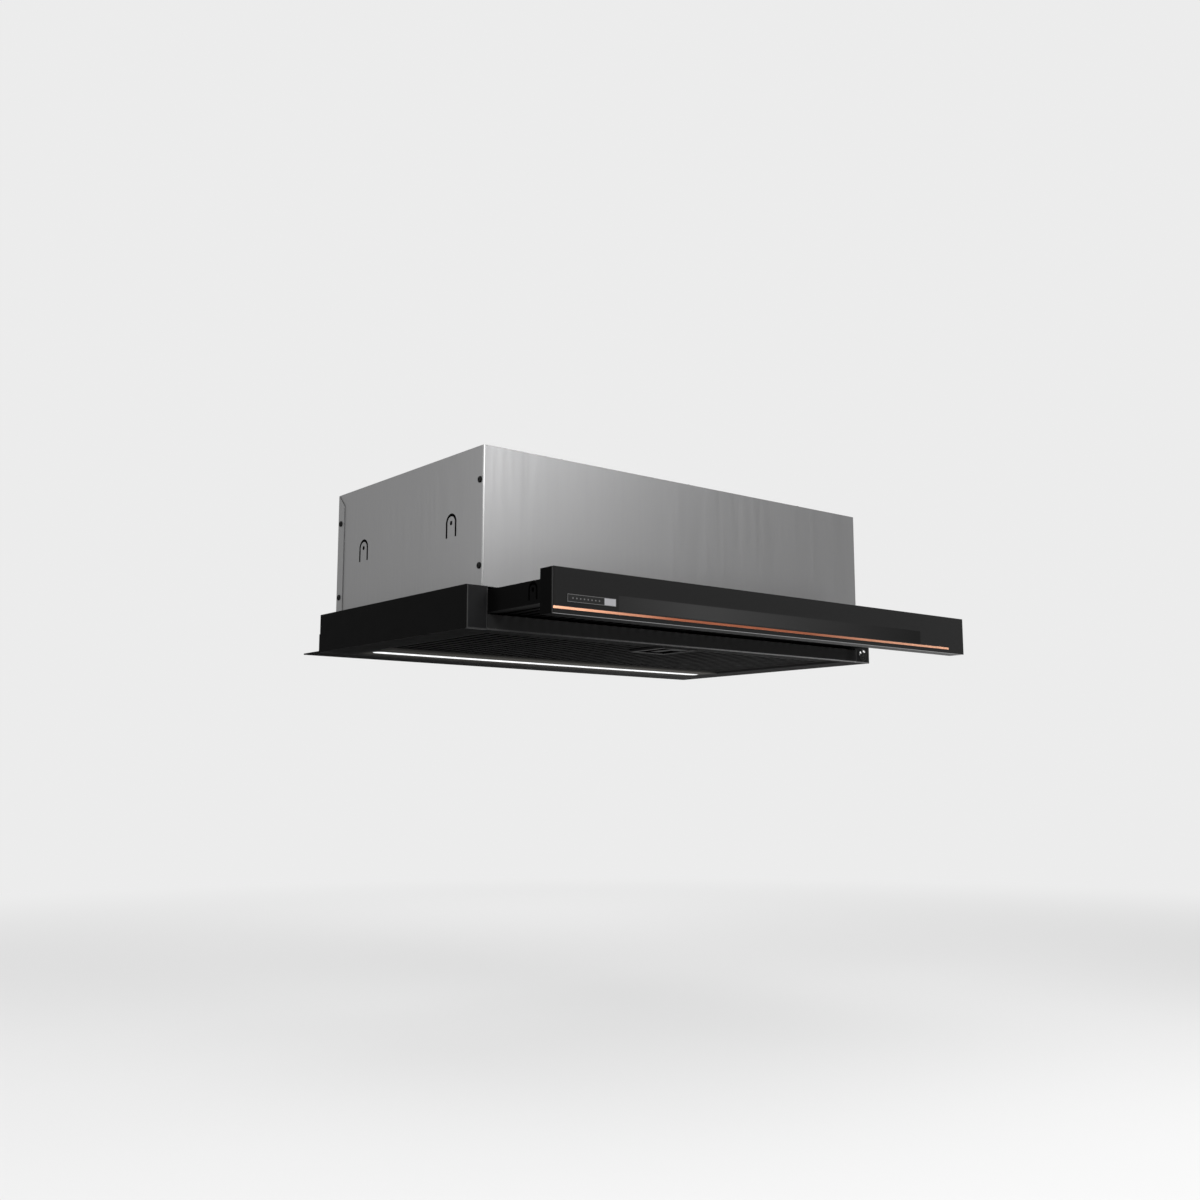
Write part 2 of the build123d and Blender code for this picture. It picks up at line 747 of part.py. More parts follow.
# Handle of the filter, a cup with a rim under the face
with BuildPart() as filter_handle:
    block((-handle_width / 2, handle_y, handle_bottom),
          (handle_width / 2, handle_y + handle_depth, filter_bottom))
    fillet(edges().filter_by(Axis.Z), handle_wall)
    block((-cup_x, cup_front, filter_bottom), (cup_x, cup_rear, handle_top))
    fillet(faces().sort_by(Axis.Z)[-1].edges(), edge_break)
    block((-recess_x, recess_front, handle_bottom), (recess_x, recess_rear, handle_top - handle_wall),
          Mode.SUBTRACT)
    block((tongue_x[0] - gap, cup_front, tongue_bottom - gap),
          (tongue_x[1] + gap, recess_front, tongue_top + gap),
          Mode.SUBTRACT)
save(filter_handle, "filter_handle")

# Latch of the filter: a bar with a thumb pad, and a tongue that reaches to the edge of the window
latch_x = (-latch_offset - latch_bar_width / 2, -latch_offset + latch_bar_width / 2)
latch_front = recess_front + gap
latch_bottom = handle_bottom + latch_recess
with BuildPart() as filter_latch:
    block((latch_x[0], latch_front, latch_bottom),
          (latch_x[1], latch_front + latch_bar_length, tongue_bottom))
    block((latch_x[0], latch_front, latch_bottom),
          (latch_x[0] + latch_pad_width, latch_front + latch_pad_length, tongue_bottom))
    fillet(edges().filter_by(Axis.Z), edge_break)
    block((tongue_x[0], tongue_tip, tongue_bottom), (tongue_x[1], latch_front + latch_pad_length, tongue_top))
save(filter_latch, "filter_latch")

# Lens of the lamp, a trough in the slot of the bottom plate with a flange on the plate
with BuildPart() as led_lens:
    with BuildSketch():
        with Locations((0, lamp_y)):
            SlotOverall(lamp_length, lamp_width)
    extrude(amount=lamp_height)
    with BuildSketch(level(sheet)):
        with Locations((0, lamp_y)):
            SlotOverall(lamp_length + 2 * lamp_flange, lamp_width + 2 * lamp_flange)
    extrude(amount=lamp_wall)
    with BuildSketch(level(lamp_wall)):
        with Locations((0, lamp_y)):
            SlotOverall(lamp_length - 2 * lamp_wall, lamp_width - 2 * lamp_wall)
    extrude(amount=lamp_height, mode=Mode.SUBTRACT)
save(led_lens, "led_lens")

# Board of the lamp, with its diodes underneath
with BuildPart() as led_board:
    with BuildSketch(level(lamp_height)):
        with Locations((0, lamp_y)):
            SlotOverall(lamp_length, lamp_width)
    extrude(amount=board_thickness)
    with BuildSketch(level(lamp_height)):
        with Locations((0, lamp_y)):
            with GridLocations((lamp_length - lamp_width) / diode_count, 0, diode_count, 1):
                Rectangle(diode_size, diode_size)
    extrude(amount=-board_thickness)
save(led_board, "led_board")

with BuildPart() as led_driver:
    block((driver_x - driver_length / 2, side_rear - driver_inset - driver_depth, sheet),
          (driver_x + driver_length / 2, side_rear - driver_inset, sheet + driver_height))
    fillet(edges().filter_by(Axis.Z), edge_break)
save(led_driver, "led_driver")

# Switch that the closed drawer presses, on a foot on the bottom plate
plunger_tip = drawer_rear + drawer_travel + gap
switch_front = plunger_tip + plunger_reach
switch_rear = switch_front + switch_depth
switch_right = drawer_inside
switch_left = switch_right - switch_width
plunger_centre = (switch_right - switch_width / 2, runner_z)
switch_low = runner_z - switch_height / 2
with BuildPart() as drawer_switch:
    block((switch_left, switch_front, switch_low), (switch_right, switch_rear, switch_low + switch_height))
    block((switch_left, switch_rear - switch_post, sheet), (switch_right, switch_rear, switch_low))
    block((switch_left, switch_front, sheet), (switch_right, switch_rear + switch_tail, sheet + switch_foot))
    along_y(plunger_centre, plunger_radius + running_fit, switch_front,
            plunger_tip + plunger_length + plunger_travel + gap, Mode.SUBTRACT)
save(drawer_switch, "drawer_switch")

with BuildPart() as switch_plunger:
    along_y(plunger_centre, plunger_radius, plunger_tip, plunger_tip + plunger_length)
save(switch_plunger, "switch_plunger")

# Bezel and cap of the push button
button_centre = (button_x, button_z)
button_radius = bezel_neck - bezel_wall
button_rear = button_length - button_proud
with BuildPart() as button_bezel:
    along_y(button_centre, bezel_radius, -bezel_proud, 0)
    chamfer(faces().sort_by(Axis.Y)[0].edges(), bezel_proud / 2)
    along_y(button_centre, bezel_neck, 0, bezel_length)
    along_y(button_centre, button_radius, -bezel_proud, button_rear + button_travel + gap, Mode.SUBTRACT)
save(button_bezel, "button_bezel")

with BuildPart() as light_button:
    along_y(button_centre, button_radius - running_fit, -button_proud, button_rear)
    chamfer(faces().sort_by(Axis.Y)[0].edges(), gap)
save(light_button, "light_button")

# Collar of the air outlet, with a ledge and a bar on which the flaps rest and bores for their pins
flap_z = ledge_top + gap + flap_barrel_radius
flap_axes = (("front_flap", -1, duct_y - flap_axis_offset), ("rear_flap", 1, duct_y + flap_axis_offset))
pin_end = duct_inner_radius + flap_pin_depth
with BuildPart() as outlet_collar:
    ring(level(top_surface), (0, duct_y), duct_flange_radius, duct_inner_radius, moulding)
    ring(level(top_surface), (0, duct_y), duct_outer_radius, duct_inner_radius, duct_height)
    ring(level(top_surface), (0, duct_y), duct_outer_radius, duct_inner_radius - flap_ledge, moulding)
    block((-duct_inner_radius, duct_y - flap_bar_width / 2, top_surface),
          (duct_inner_radius, duct_y + flap_bar_width / 2, ledge_top))
    for label, side, y in flap_axes:
        disc(across(-pin_end - gap), (y, flap_z), flap_pin_radius + running_fit, 2 * (pin_end + gap),
             Mode.SUBTRACT)
save(outlet_collar, "outlet_collar")

# Flaps of the air outlet: half discs that hang on a barrel with a pin at each end
flap_radius = duct_inner_radius - flap_clearance
barrel_end = flap_radius - running_fit - gap
for label, side, y in flap_axes:
    with BuildPart() as flap:
        with BuildSketch(level(ledge_top + gap)) as half_disc:
            with Locations((0, duct_y)):
                Circle(flap_radius)
            with Locations((0, y)):
                Rectangle(2 * duct_outer_radius, 2 * duct_outer_radius, mode=Mode.SUBTRACT,
                          align=(Align.CENTER, Align.MAX if side > 0 else Align.MIN))
        extrude(amount=flap_thickness)
        disc(across(-barrel_end), (y, flap_z), flap_barrel_radius, 2 * barrel_end)
        disc(across(-pin_end), (y, flap_z), flap_pin_radius, 2 * pin_end)
    save(flap, label)

# Halves of the fan scroll, which meet at the middle and hang from the box top by the flange at the mouth
for label, side in (("scroll_left", -1), ("scroll_right", 1)):
    with BuildPart() as scroll:
        extrude(volute(moulding), amount=side * (fan_half_width + moulding))
        block((0, mouth_front_y - mouth_flange, top_underside - moulding),
              (side * (fan_half_width + mouth_flange), mouth_rear_y + mouth_flange, top_underside))
        ring(across(side * (fan_half_width + moulding)), fan_centre, inlet_radius + 2 * moulding,
             inlet_radius,
             side * moulding)
        extrude(volute(0), amount=side * fan_half_width, mode=Mode.SUBTRACT)
        block((0, mouth_front_y - mouth_flange, top_underside),
              (side * (fan_half_width + mouth_flange), mouth_rear_y + mouth_flange, box_top), Mode.SUBTRACT)
        disc(across(side * fan_half_width), fan_centre, inlet_radius, side * 2 * moulding, Mode.SUBTRACT)
        ring(across(side * fan_half_width), fan_centre, inlet_radius + moulding, inlet_radius,
             -side * inlet_depth)
    save(scroll, label)

# Fan wheel: a disc on a hub, a ring at each end, and slanted blades between the disc and the rings
with BuildPart() as impeller_disc:
    disc(across(hub_x), fan_centre, impeller_radius - blade_thickness, hub_disc)
    disc(across(hub_x), fan_centre, hub_radius, hub_length)
    disc(across(hub_x), fan_centre, shaft_radius, hub_length, Mode.SUBTRACT)
save(impeller_disc, "impeller_disc")

with BuildPart() as impeller_rings:
    for side in (-1, 1):
        ring(across(side * impeller_x), fan_centre, impeller_radius, impeller_radius - impeller_ring_width,
             -side * moulding)
save(impeller_rings, "impeller_rings")

blade_spans = ((moulding - impeller_x, hub_x), (hub_x + hub_disc, impeller_x - moulding))
with BuildPart() as impeller_blades:
    for left, right in blade_spans:
        with BuildSketch(across(left)) as blades:
            with Locations(fan_centre):
                with PolarLocations(impeller_radius - blade_length / 2, blade_count):
                    Rectangle(blade_length, blade_thickness, rotation=blade_angle)
        extrude(blades.sketch, amount=right - left)
save(impeller_blades, "impeller_blades")

# Shaft and nut of the fan wheel
motor_right = -motor_inner_end
motor_left = motor_right - motor_length
nut_x = hub_x + hub_length
with BuildPart() as motor_shaft:
    disc(across(motor_left + 2 * motor_wall), fan_centre, shaft_radius,
         nut_x + nut_thickness + shaft_thread - motor_left - 2 * motor_wall)
save(motor_shaft, "motor_shaft")

with BuildPart() as impeller_nut:
    with BuildSketch(across(nut_x)):
        with Locations(fan_centre):
            RegularPolygon(nut_radius, 6)
            Circle(shaft_radius, mode=Mode.SUBTRACT)
    extrude(amount=nut_thickness)
save(impeller_nut, "impeller_nut")

# Motor in the left inlet of the scroll: a closed can with a seat for a bearing at each end
seat_x = (motor_left + motor_wall, motor_right - motor_wall - bearing_length)
with BuildPart() as motor_housing:
    disc(across(motor_left), fan_centre, motor_radius, motor_length)
    disc(across(motor_left + motor_wall), fan_centre, motor_radius - motor_wall,
         motor_length - 2 * motor_wall,
         Mode.SUBTRACT)
    disc(across(motor_right), fan_centre, shaft_radius + moulding, -motor_wall, Mode.SUBTRACT)
    for x in seat_x:
        ring(across(x), fan_centre, bearing_radius + motor_wall, bearing_radius, bearing_length)
save(motor_housing, "motor_housing")

with BuildPart() as motor_bearings:
    for x in seat_x:
        ring(across(x), fan_centre, bearing_radius, shaft_radius + running_fit, bearing_length)
save(motor_bearings, "motor_bearings")

# Stator and rotor, whose core lengths are equal
core_x = (motor_left + motor_right - rotor_length) / 2
stator_inner = rotor_radius + rotor_gap
with BuildPart() as motor_stator:
    ring(across(core_x), fan_centre, motor_radius - motor_wall, stator_inner, rotor_length)
    ring(across(core_x - winding_overhang), fan_centre, winding_radius, stator_inner + moulding,
         rotor_length + 2 * winding_overhang)
save(motor_stator, "motor_stator")

with BuildPart() as motor_rotor:
    ring(across(core_x), fan_centre, rotor_radius, shaft_radius, rotor_length)
save(motor_rotor, "motor_rotor")

# Bracket that holds the motor to the left wall of the scroll
scroll_face = -fan_half_width - 2 * moulding
arm_end = inlet_radius + bracket_reach
with BuildPart() as motor_bracket:
    with BuildSketch(across(scroll_face)):
        with Locations(fan_centre):
            with PolarLocations(0, 3, start_angle=90):
                Rectangle(arm_end, bracket_arm, align=(Align.MIN, Align.CENTER))
            Circle(motor_radius + bracket_ring)
            Circle(motor_radius, mode=Mode.SUBTRACT)
    extrude(amount=-bracket_thickness)
save(motor_bracket, "motor_bracket")

# Capacitor on the rear of the box, with two terminals
capacitor_z = tray_height + capacitor_height
capacitor_front = side_rear - capacitor_length
with BuildPart() as capacitor:
    along_y((capacitor_x, capacitor_z), capacitor_radius, capacitor_front, side_rear)
    fillet(edges().filter_by(GeomType.CIRCLE).sort_by(Axis.Y)[0], sheet)
    for step in (-1, 1):
        along_y((capacitor_x + step * capacitor_radius / 3, capacitor_z), terminal_radius,
                capacitor_front - terminal_length, capacitor_front)
save(capacitor, "capacitor")

# Box of the controls on the rear of the box
controls_low = (controls_x - controls_width / 2, side_rear - controls_depth, tray_height + controls_lift)
controls_high = (controls_x + controls_width / 2, side_rear, tray_height + controls_lift + controls_height)
with BuildPart() as control_box:
    block(controls_low, controls_high)
    fillet(edges().group_by(Axis.Y)[0], moulding)
save(control_box, "control_box")

# Gland of the power cable in the box top, with its nut underneath
with BuildPart() as cable_gland:
    disc(level(top_surface), gland_centre, gland_head_radius, gland_height)
    fillet(edges().filter_by(GeomType.CIRCLE).sort_by(Axis.Z)[-1], sheet)
    disc(level(top_underside), gland_centre, gland_neck_radius, sheet)
    disc(level(top_underside), gland_centre, gland_head_radius, -gland_nut)
    disc(level(top_underside - gland_nut), gland_centre, cable_hole_radius, gland_nut + sheet + gland_height,
         Mode.SUBTRACT)
save(cable_gland, "cable_gland")
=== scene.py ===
import json
from math import cos, pi, radians, sin

import bmesh
import bpy
from mathutils import Matrix, Vector


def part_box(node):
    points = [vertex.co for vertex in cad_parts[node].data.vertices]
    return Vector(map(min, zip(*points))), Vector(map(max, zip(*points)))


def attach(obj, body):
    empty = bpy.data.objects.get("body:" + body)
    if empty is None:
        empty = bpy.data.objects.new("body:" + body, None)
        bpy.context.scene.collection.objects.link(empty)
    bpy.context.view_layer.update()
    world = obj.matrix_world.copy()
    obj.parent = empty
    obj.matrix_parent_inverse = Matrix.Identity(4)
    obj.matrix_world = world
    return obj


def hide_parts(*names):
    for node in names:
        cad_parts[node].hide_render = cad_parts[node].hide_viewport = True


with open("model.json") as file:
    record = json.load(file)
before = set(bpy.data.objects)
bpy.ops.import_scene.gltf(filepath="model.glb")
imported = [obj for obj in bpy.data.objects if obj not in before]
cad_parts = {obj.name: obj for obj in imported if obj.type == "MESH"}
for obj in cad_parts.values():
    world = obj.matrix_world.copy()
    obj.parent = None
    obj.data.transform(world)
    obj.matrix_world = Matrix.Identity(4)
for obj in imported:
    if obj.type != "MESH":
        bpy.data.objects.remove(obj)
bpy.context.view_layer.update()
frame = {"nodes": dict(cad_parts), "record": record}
nodes = frame["nodes"]
MM = 0.001
SHEET = 1.0 * MM

# Camera, floor and light
CAMERA_PLACE = (-0.9607, -1.0115, -0.1435)
CAMERA_TURN = (98.054, 0.042, -39.252)
CAMERA_LENS = 38.18
SENSOR = 36.0
FLOOR_Z = -0.42
FLOOR_RADIUS = 9.0
FLOOR_SHADE = 0.66
FLOOR_FADE = (0.5, 2.4)  # the floor turns into the background over these distances
FLOOR_LIFT = 0.35
BACKGROUND = 0.84
AMBIENT = 0.30
LAMPS = (  # name, place, target, size, power
    ("key", (-1.0, -1.1, 0.8), (-0.35, 0, 0.1), (0.7, 0.7), 15.5),
    ("softbox", (0.17, -1.2, 0.7), (-0.24, 0, 0.12), (0.9, 0.6), 15.5),
    ("side", (-1.65, 0.75, 0.45), (-0.28, 0.08, 0.11), (0.5, 0.5), 9),
    ("fill", (1.0, -1.3, -0.35), (0.1, 0, 0.0), (0.4, 0.2), 4),
    ("top", (0.2, 0.3, 1.8), (0, 0.1, 0), (1.5, 1.5), 12),
    ("back", (0.9, 1.6, 0.7), (0.1, 0.2, 0.1), (0.8, 0.8), 14),
)

# Shades of grey, as linear values. Many are painted light, shade or highlights, as noted above each.
COAT_SHADE = 0.0045
# Painted light: the front rail, paler than the coat round it
RAIL_PAINTED_LIGHT = 0.016
# Painted highlight along edges, in part wear of the coat
EDGE_HIGHLIGHT_AND_WEAR = 0.08
# Painted highlight on the cut front edge of the tray's right wall
TRAY_EDGE_HIGHLIGHT = 0.06
# Painted light on the lower flange of the drawer's sides
FLANGE_PAINTED_LIGHT = 0.011
# Painted shade on the drawer sides' web in front of the body
WEB_PAINTED_SHADE = 0.0028
WINDOW_RIM_SHADE = 0.03
# Painted shade: the walls of slots, the handle's cup and the glass's end face
PAINTED_SHADE_WALL = 0.0005
# Painted shade on the walls of the steel box's punched slots
PUNCHED_PAINTED_SHADE = 0.003
# Painted highlight on the front folds of the steel box
FOLD_HIGHLIGHT = 0.45
# Painted highlights along the end plates' rims, palest along the right one's lower edge
OUTLINE_HIGHLIGHT = 0.035
LOW_LINE_HIGHLIGHT = 0.13
# Painted light on the walls of the handle's rim
HANDLE_RIM_PAINTED_LIGHT = 0.016
PROFILE_LINES = 0.03
GLASS_SHADE = 0.0094
GLASS_UNDER_SHADE = 0.022
# Painted shade along the copper strip's upper edge
STRIP_EDGE_PAINTED_SHADE = 0.01
LENS_EDGE_SHADE = 0.14
# The button rim's own dark, and its painted glints
RIM_DARK, GLINT_BRIGHT = 0.012, 0.95

# Shades that change along the hood, as (place across, shade). The underside's and the profile's are
# painted light, the lip's and the glass's ground underside's are partly painted light, all paler to the
# right; the print's are its own.
UNDERSIDE_PAINTED_LIGHT = ((-0.3, 0.001), (0.0, 0.004), (0.28, 0.014))
LIP_EDGE_AND_LIGHT_SHADES = ((-0.2, 0.045), (0.25, 0.26))
PROFILE_PAINTED_REFLECTION = ((-0.29, 0.001), (-0.17, 0.017), (-0.03, 0.017), (0.3, 0.143))
PRINT_SHADES = ((-0.27, 0.009), (-0.13, 0.025), (-0.1, 0.025), (0.21, 0.003))
GROUND_EDGE_AND_LIGHT_SHADES = ((-0.28, 0.05), (-0.12, 0.13))

# Colours
STEEL = (0.16, 0.16, 0.161, 1)
COPPER = (0.6, 0.3, 0.2, 1)
LENS = (0.85, 0.86, 0.88, 1)
# The copper strip's middle, and its ends with a painted sheen
DEEP_COPPER = (0.27, 0.085, 0.043, 1)
SHEEN_COPPER = (0.83, 0.43, 0.275, 1)
# Colour of the painted glow of lamp light round the lens
WARM_SPILL = (1.0, 0.95, 0.86, 1)
COOL_DIODE = (0.93, 0.95, 1.0, 1)

# Where a finish changes, and where its painted light, shade, highlights and glints lie
LINES_ACROSS = (1, 60, 60)
WALL = 0.5  # a face whose normal has less than this along an axis is a wall along that axis
CUT_EDGE = 1.2 * MM
UNDERSIDE_TOP = 6.0 * MM
LIP_X = (-288.0 * MM, 299.2 * MM)
LENS_X = 251.0 * MM
SLOTS_X = 256.0 * MM
FILTER_SLOTS = ((40.0 * MM, 221.0 * MM), (2.55 * MM, 16.0 * MM))  # their span deep, and up
GRILLE_SLOTS = ((-118.0 * MM, 100.0 * MM), (18.05 * MM, 23.0 * MM))
SLOT_SKIN = 0.5 * MM
WINDOW_MARGIN = (2.4 * MM, 3.0 * MM, 4.0 * MM)  # from the filter to its window: side, front, rear
HANDLE_RIM_TOP = 2.45 * MM
CUP_X = 20.15 * MM
CUP_Y = (24.85 * MM, 72.15 * MM)
CUP_FLOOR = 1.15 * MM
CUP_DULL = 0.45
LATCH_EDGE_X = (-9.1 * MM, -5.8 * MM)
PUNCHED_Y = (45.0 * MM, 255.0 * MM)
PUNCHED_Z = (90.0 * MM, 130.0 * MM)
FOLD_REAR = 5.0 * MM
PRINT_X = (-0.225, 0.218)
PRINT_Z = (8.0 * MM, 22.0 * MM)
PRINT_BLUR = 0.2 * MM
GROUND_DEEP = 0.8 * MM
STRIP_EDGE = 0.7 * MM
DIODE_PITCH = 20.2 * MM
# Strength and reach of the painted glow round the lens
SPILL_POWER = 0.054
SPILL_NEAR = 0.85
# Painted glints on the button's rim: where they lie round it, how far out, how soft, and how bright the
# tail is
GLINT_WEDGES = ((50, 90), (134, 150))  # degrees round the button
WEDGE_FROM = 4.4 * MM
GLINT_TAIL = (152, 178)
TAIL_FROM = 5.6 * MM
TAIL_LEVEL = 0.35
WEDGE_BLUR = 5

# Small parts
WELD = 0.001 * MM
EDGE = 0.25 * MM
FLAT_ANGLE = 0.5
EDGE_ANGLE = 40
SMOOTH_ANGLE = 35
SCREW_HEAD = 3.3 * MM
SCREW_RISE = 1.6 * MM
SCREW_SHANK = 1.6 * MM
SCREW_LENGTH = 5.0 * MM
BOX_TOP = 183.5 * MM
BODY_DEPTH = 300.2 * MM
GLAND_RISE = 12.0 * MM
GLAND_BORE = 3.7 * MM
GLAND_NECK = 6.0 * MM
GLAND_FOOT = 3.6 * MM
GLAND_NUT = (4.2 * MM, 9.6 * MM)
BUTTON_RIM = 0.8  # of the cap's radius
BUTTON_LIP = 0.15 * MM
BUTTON_RISE = 0.55 * MM
BADGE_LINE = 0.45 * MM
BADGE_RISE = 0.03 * MM
BADGE_CELL = 0.24  # of the plate's length
DOTS = 8
DOT = 0.75 * MM
# A black plate behind each drawer slot, which stands in for shade
BACKING_GAP = 0.4 * MM
BACKING_THICK = 0.5 * MM
BACKING_Y = (-88.0 * MM, -56.0 * MM)
BACKING_CORNER = 2.0 * MM

finishes = {}


def grey(value):
    return (value, value, value, 1.0)


def tint(colour, factor):
    return tuple(min(1.0, c * factor) for c in colour[:3]) + (1.0,)


class Nodes:
    """Short ways to add shader nodes to a node tree. A value is a number, a colour or an output."""

    def __init__(self, tree):
        self.tree = tree

    def connect(self, value, socket):
        if isinstance(value, bpy.types.NodeSocket):
            self.tree.links.new(value, socket)
        else:
            socket.default_value = value

    def node(self, kind, inputs=None, **settings):
        made = self.tree.nodes.new("ShaderNode" + kind)
        for name, value in settings.items():
            setattr(made, name, value)
        for name, value in (inputs or {}).items():
            self.connect(value, made.inputs[name])
        return made

    def math(self, operation, first, second=0.0):
        return self.node("Math", {0: first, 1: second}, operation=operation).outputs[0]

    def times(self, *factors):
        product = factors[0]
        for factor in factors[1:]:
            product = self.math("MULTIPLY", product, factor)
        return product

    def most(self, first, *others):
        for other in others:
            first = self.math("MAXIMUM", first, other)
        return first

    def size(self, value):
        return self.math("ABSOLUTE", value)

    def below(self, value, limit):
        return self.math("LESS_THAN", value, limit)

    def above(self, value, limit):
        return self.math("GREATER_THAN", value, limit)

    def between(self, value, start, end, low, high):
        """Goes evenly from low to high while the value goes from start to end."""
        inputs = {"Value": value, "From Min": start, "From Max": end, "To Min": low, "To Max": high}
        return self.node("MapRange", inputs).outputs["Result"]

    def rise(self, value, start, end):
        return self.between(value, start, end, 0.0, 1.0)

    def fall(self, value, start, end):
        return self.between(value, start, end, 1.0, 0.0)

    def within(self, value, low, high, blur=0.02 * MM):
        """Is 1 where a value lies between two limits, and 0 outside them."""
        return self.times(self.rise(value, low - blur, low + blur),
                          self.fall(value, high - blur, high + blur))

    def mix(self, factor, first, second):
        made = self.node("Mix", data_type="RGBA")
        for index, value in ((0, factor), (6, first), (7, second)):
            self.connect(value, made.inputs[index])
        return made.outputs[2]

    def graded(self, value, stops):
        """A grey that changes evenly from stop to stop."""
        (start, shade), *others = stops
        colour = grey(shade)
        for end, shade in others:
            colour = self.mix(self.rise(value, start, end), colour, grey(shade))
            start = end
        return colour

    def shows_background(self):
        """Is 1 for the rays that see the background: the camera's, and those off gloss or in glass."""
        rays = self.node("LightPath").outputs
        return self.most(rays["Is Camera Ray"], rays["Is Glossy Ray"], rays["Is Transmission Ray"])


class Finish(Nodes):
    """A material, its shader, and the places across, deep and up in the piece."""

    def __init__(self, name, colour, roughness, metallic=0.0, level=0.5):
        self.material = finishes[name] = bpy.data.materials.new(name)
        self.material.use_nodes = True
        super().__init__(self.material.node_tree)
        self.shader = self.tree.nodes["Principled BSDF"]
        for socket, value in (("Base Color", colour), ("Roughness", roughness),
                              ("Metallic", metallic), ("Specular IOR Level", level)):
            self.set(socket, value)
        self.place = self.node("TexCoord").outputs["Object"]
        self.across, self.deep, self.up = self.node("SeparateXYZ", {"Vector": self.place}).outputs

    def set(self, socket, value):
        """Sets a socket of the shader to a plain value, or links an output to it."""
        self.connect(value, self.shader.inputs[socket])

    def noise(self, scale, detail, stretch=(1, 1, 1)):
        place = self.node("Mapping", {"Vector": self.place, "Scale": stretch}).outputs["Vector"]
        inputs = {"Vector": place, "Scale": scale, "Detail": detail}
        return self.node("TexNoise", inputs).outputs["Fac"]

    def spread(self, noise, low, high):
        """Spreads a noise, most of which lies from 0.3 to 0.7, from low to high."""
        return self.between(noise, 0.3, 0.7, low, high)

    def facing(self):
        """The parts of the face's own normal."""
        normal = self.node("NewGeometry").outputs["True Normal"]
        return self.node("SeparateXYZ", {"Vector": normal}).outputs

    def rounded(self, radius):
        """The normal that an edge of this radius would have."""
        return self.node("Bevel", {"Radius": radius}, samples=6).outputs["Normal"]

    def bump(self, height, depth, strength):
        inputs = {"Height": height, "Distance": depth, "Strength": strength}
        self.set("Normal", self.node("Bump", inputs).outputs[0])


def highlit_and_worn_edges(made, where, plain, pale):
    """Mixes a paler colour in along the edges: a painted highlight, and in part wear where a coat is
    thin and rubbed.
    """
    normals = {0: made.node("NewGeometry").outputs["Normal"], 1: made.rounded(CUT_EDGE)}
    agree = made.node("VectorMath", normals, operation="DOT_PRODUCT").outputs["Value"]
    return made.mix(made.times(made.fall(agree, 0.9, 0.995), where), plain, pale)


def plate_shades(made, plain):
    """The bottom plate's underside and the front rail, with painted light on both; the front lip's
    paler cut edge, with painted light along it; and painted highlights along the cut edges, in part
    wear.
    """
    rail_low, rail_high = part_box("front_rail")
    across, deep, up = made.across, made.deep, made.up
    # Painted light: the underside darkens to the left and pales to the right.
    plain = made.mix(underside(made), plain, made.graded(across, UNDERSIDE_PAINTED_LIGHT))
    # Painted light: the front rail is painted paler than the coat.
    rail_rear = rail_high.y + 0.5 * MM
    rail = made.times(made.within(made.size(across), -rail_high.x, rail_high.x),
                      made.within(deep, -rail_rear, rail_rear),
                      made.within(up, rail_low.z, rail_high.z + 0.1 * MM))
    plain = made.mix(rail, plain, grey(RAIL_PAINTED_LIGHT))
    # Painted highlight along the lower edges, in part wear of the coat.
    edge_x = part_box("bottom_plate")[1].x - 0.1 * MM
    edge_band = made.times(made.within(up, -CUT_EDGE, 2 * CUT_EDGE), made.above(across, -edge_x))
    plain = highlit_and_worn_edges(made, edge_band, plain, grey(EDGE_HIGHLIGHT_AND_WEAR))
    # The plate's front lip: a paler cut edge, with painted light that makes it paler to the right.
    front = made.within(deep, -CUT_EDGE, CUT_EDGE)
    lip = made.times(front, made.within(up, -CUT_EDGE, CUT_EDGE), made.within(across, *LIP_X))
    plain = made.mix(lip, plain, made.graded(across, LIP_EDGE_AND_LIGHT_SHADES))
    # Painted highlight on the cut front edge of the tray's right wall.
    return made.mix(made.times(made.above(across, edge_x), front), plain, grey(TRAY_EDGE_HIGHLIGHT))


def underside(made):
    """Is 1 on the bottom plate's underside."""
    return made.times(made.below(made.facing()["Z"], -WALL), made.below(made.up, UNDERSIDE_TOP))


def drawer_shades(made, plain):
    """Painted light on the lower flange of the drawer's sides, and painted shade on the part of their
    web in front of the body.
    """
    low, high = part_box("drawer_right_side")
    wide = made.size(made.across)
    foot, web_x = low.z + 0.2 * MM, high.x - 0.2 * MM
    flange = made.times(made.within(wide, low.x - 0.1 * MM, web_x + SHEET),
                        made.below(made.deep, high.y), made.within(made.up, low.z - SHEET, foot))
    web = made.times(made.within(wide, web_x, web_x + SHEET), made.below(made.deep, 0.0),
                     made.above(made.up, foot))
    return made.mix(web, made.mix(flange, plain, grey(FLANGE_PAINTED_LIGHT)), grey(WEB_PAINTED_SHADE))


def slot_shades(made, plain):
    """The paler walls round the filter's window, and painted shade on the walls of the slots in the
    filter and the drawer.
    """
    filter_low, filter_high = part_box("filter_face")
    wide, facing = made.size(made.across), made.facing()
    side, front, rear = WINDOW_MARGIN
    rim = made.times(made.below(wide, filter_high.x + side),
                     made.within(made.deep, filter_low.y - front, filter_high.y + rear),
                     made.within(made.up, -0.1 * MM, filter_low.z),
                     made.below(made.size(facing["Z"]), WALL))
    plain = made.mix(rim, plain, grey(WINDOW_RIM_SHADE))
    # Painted shade: the slot walls in the filter and the drawer grille are near black.
    walls = made.above(made.size(facing["X"]), 0.3)
    for length, height in (FILTER_SLOTS, GRILLE_SLOTS):
        inner = made.most(walls, made.above(made.up, height[0] + SLOT_SKIN))
        slots = made.times(made.below(wide, SLOTS_X), made.within(made.deep, *length),
                           made.within(made.up, *height), inner)
        plain = made.mix(slots, plain, grey(PAINTED_SHADE_WALL))
    return plain


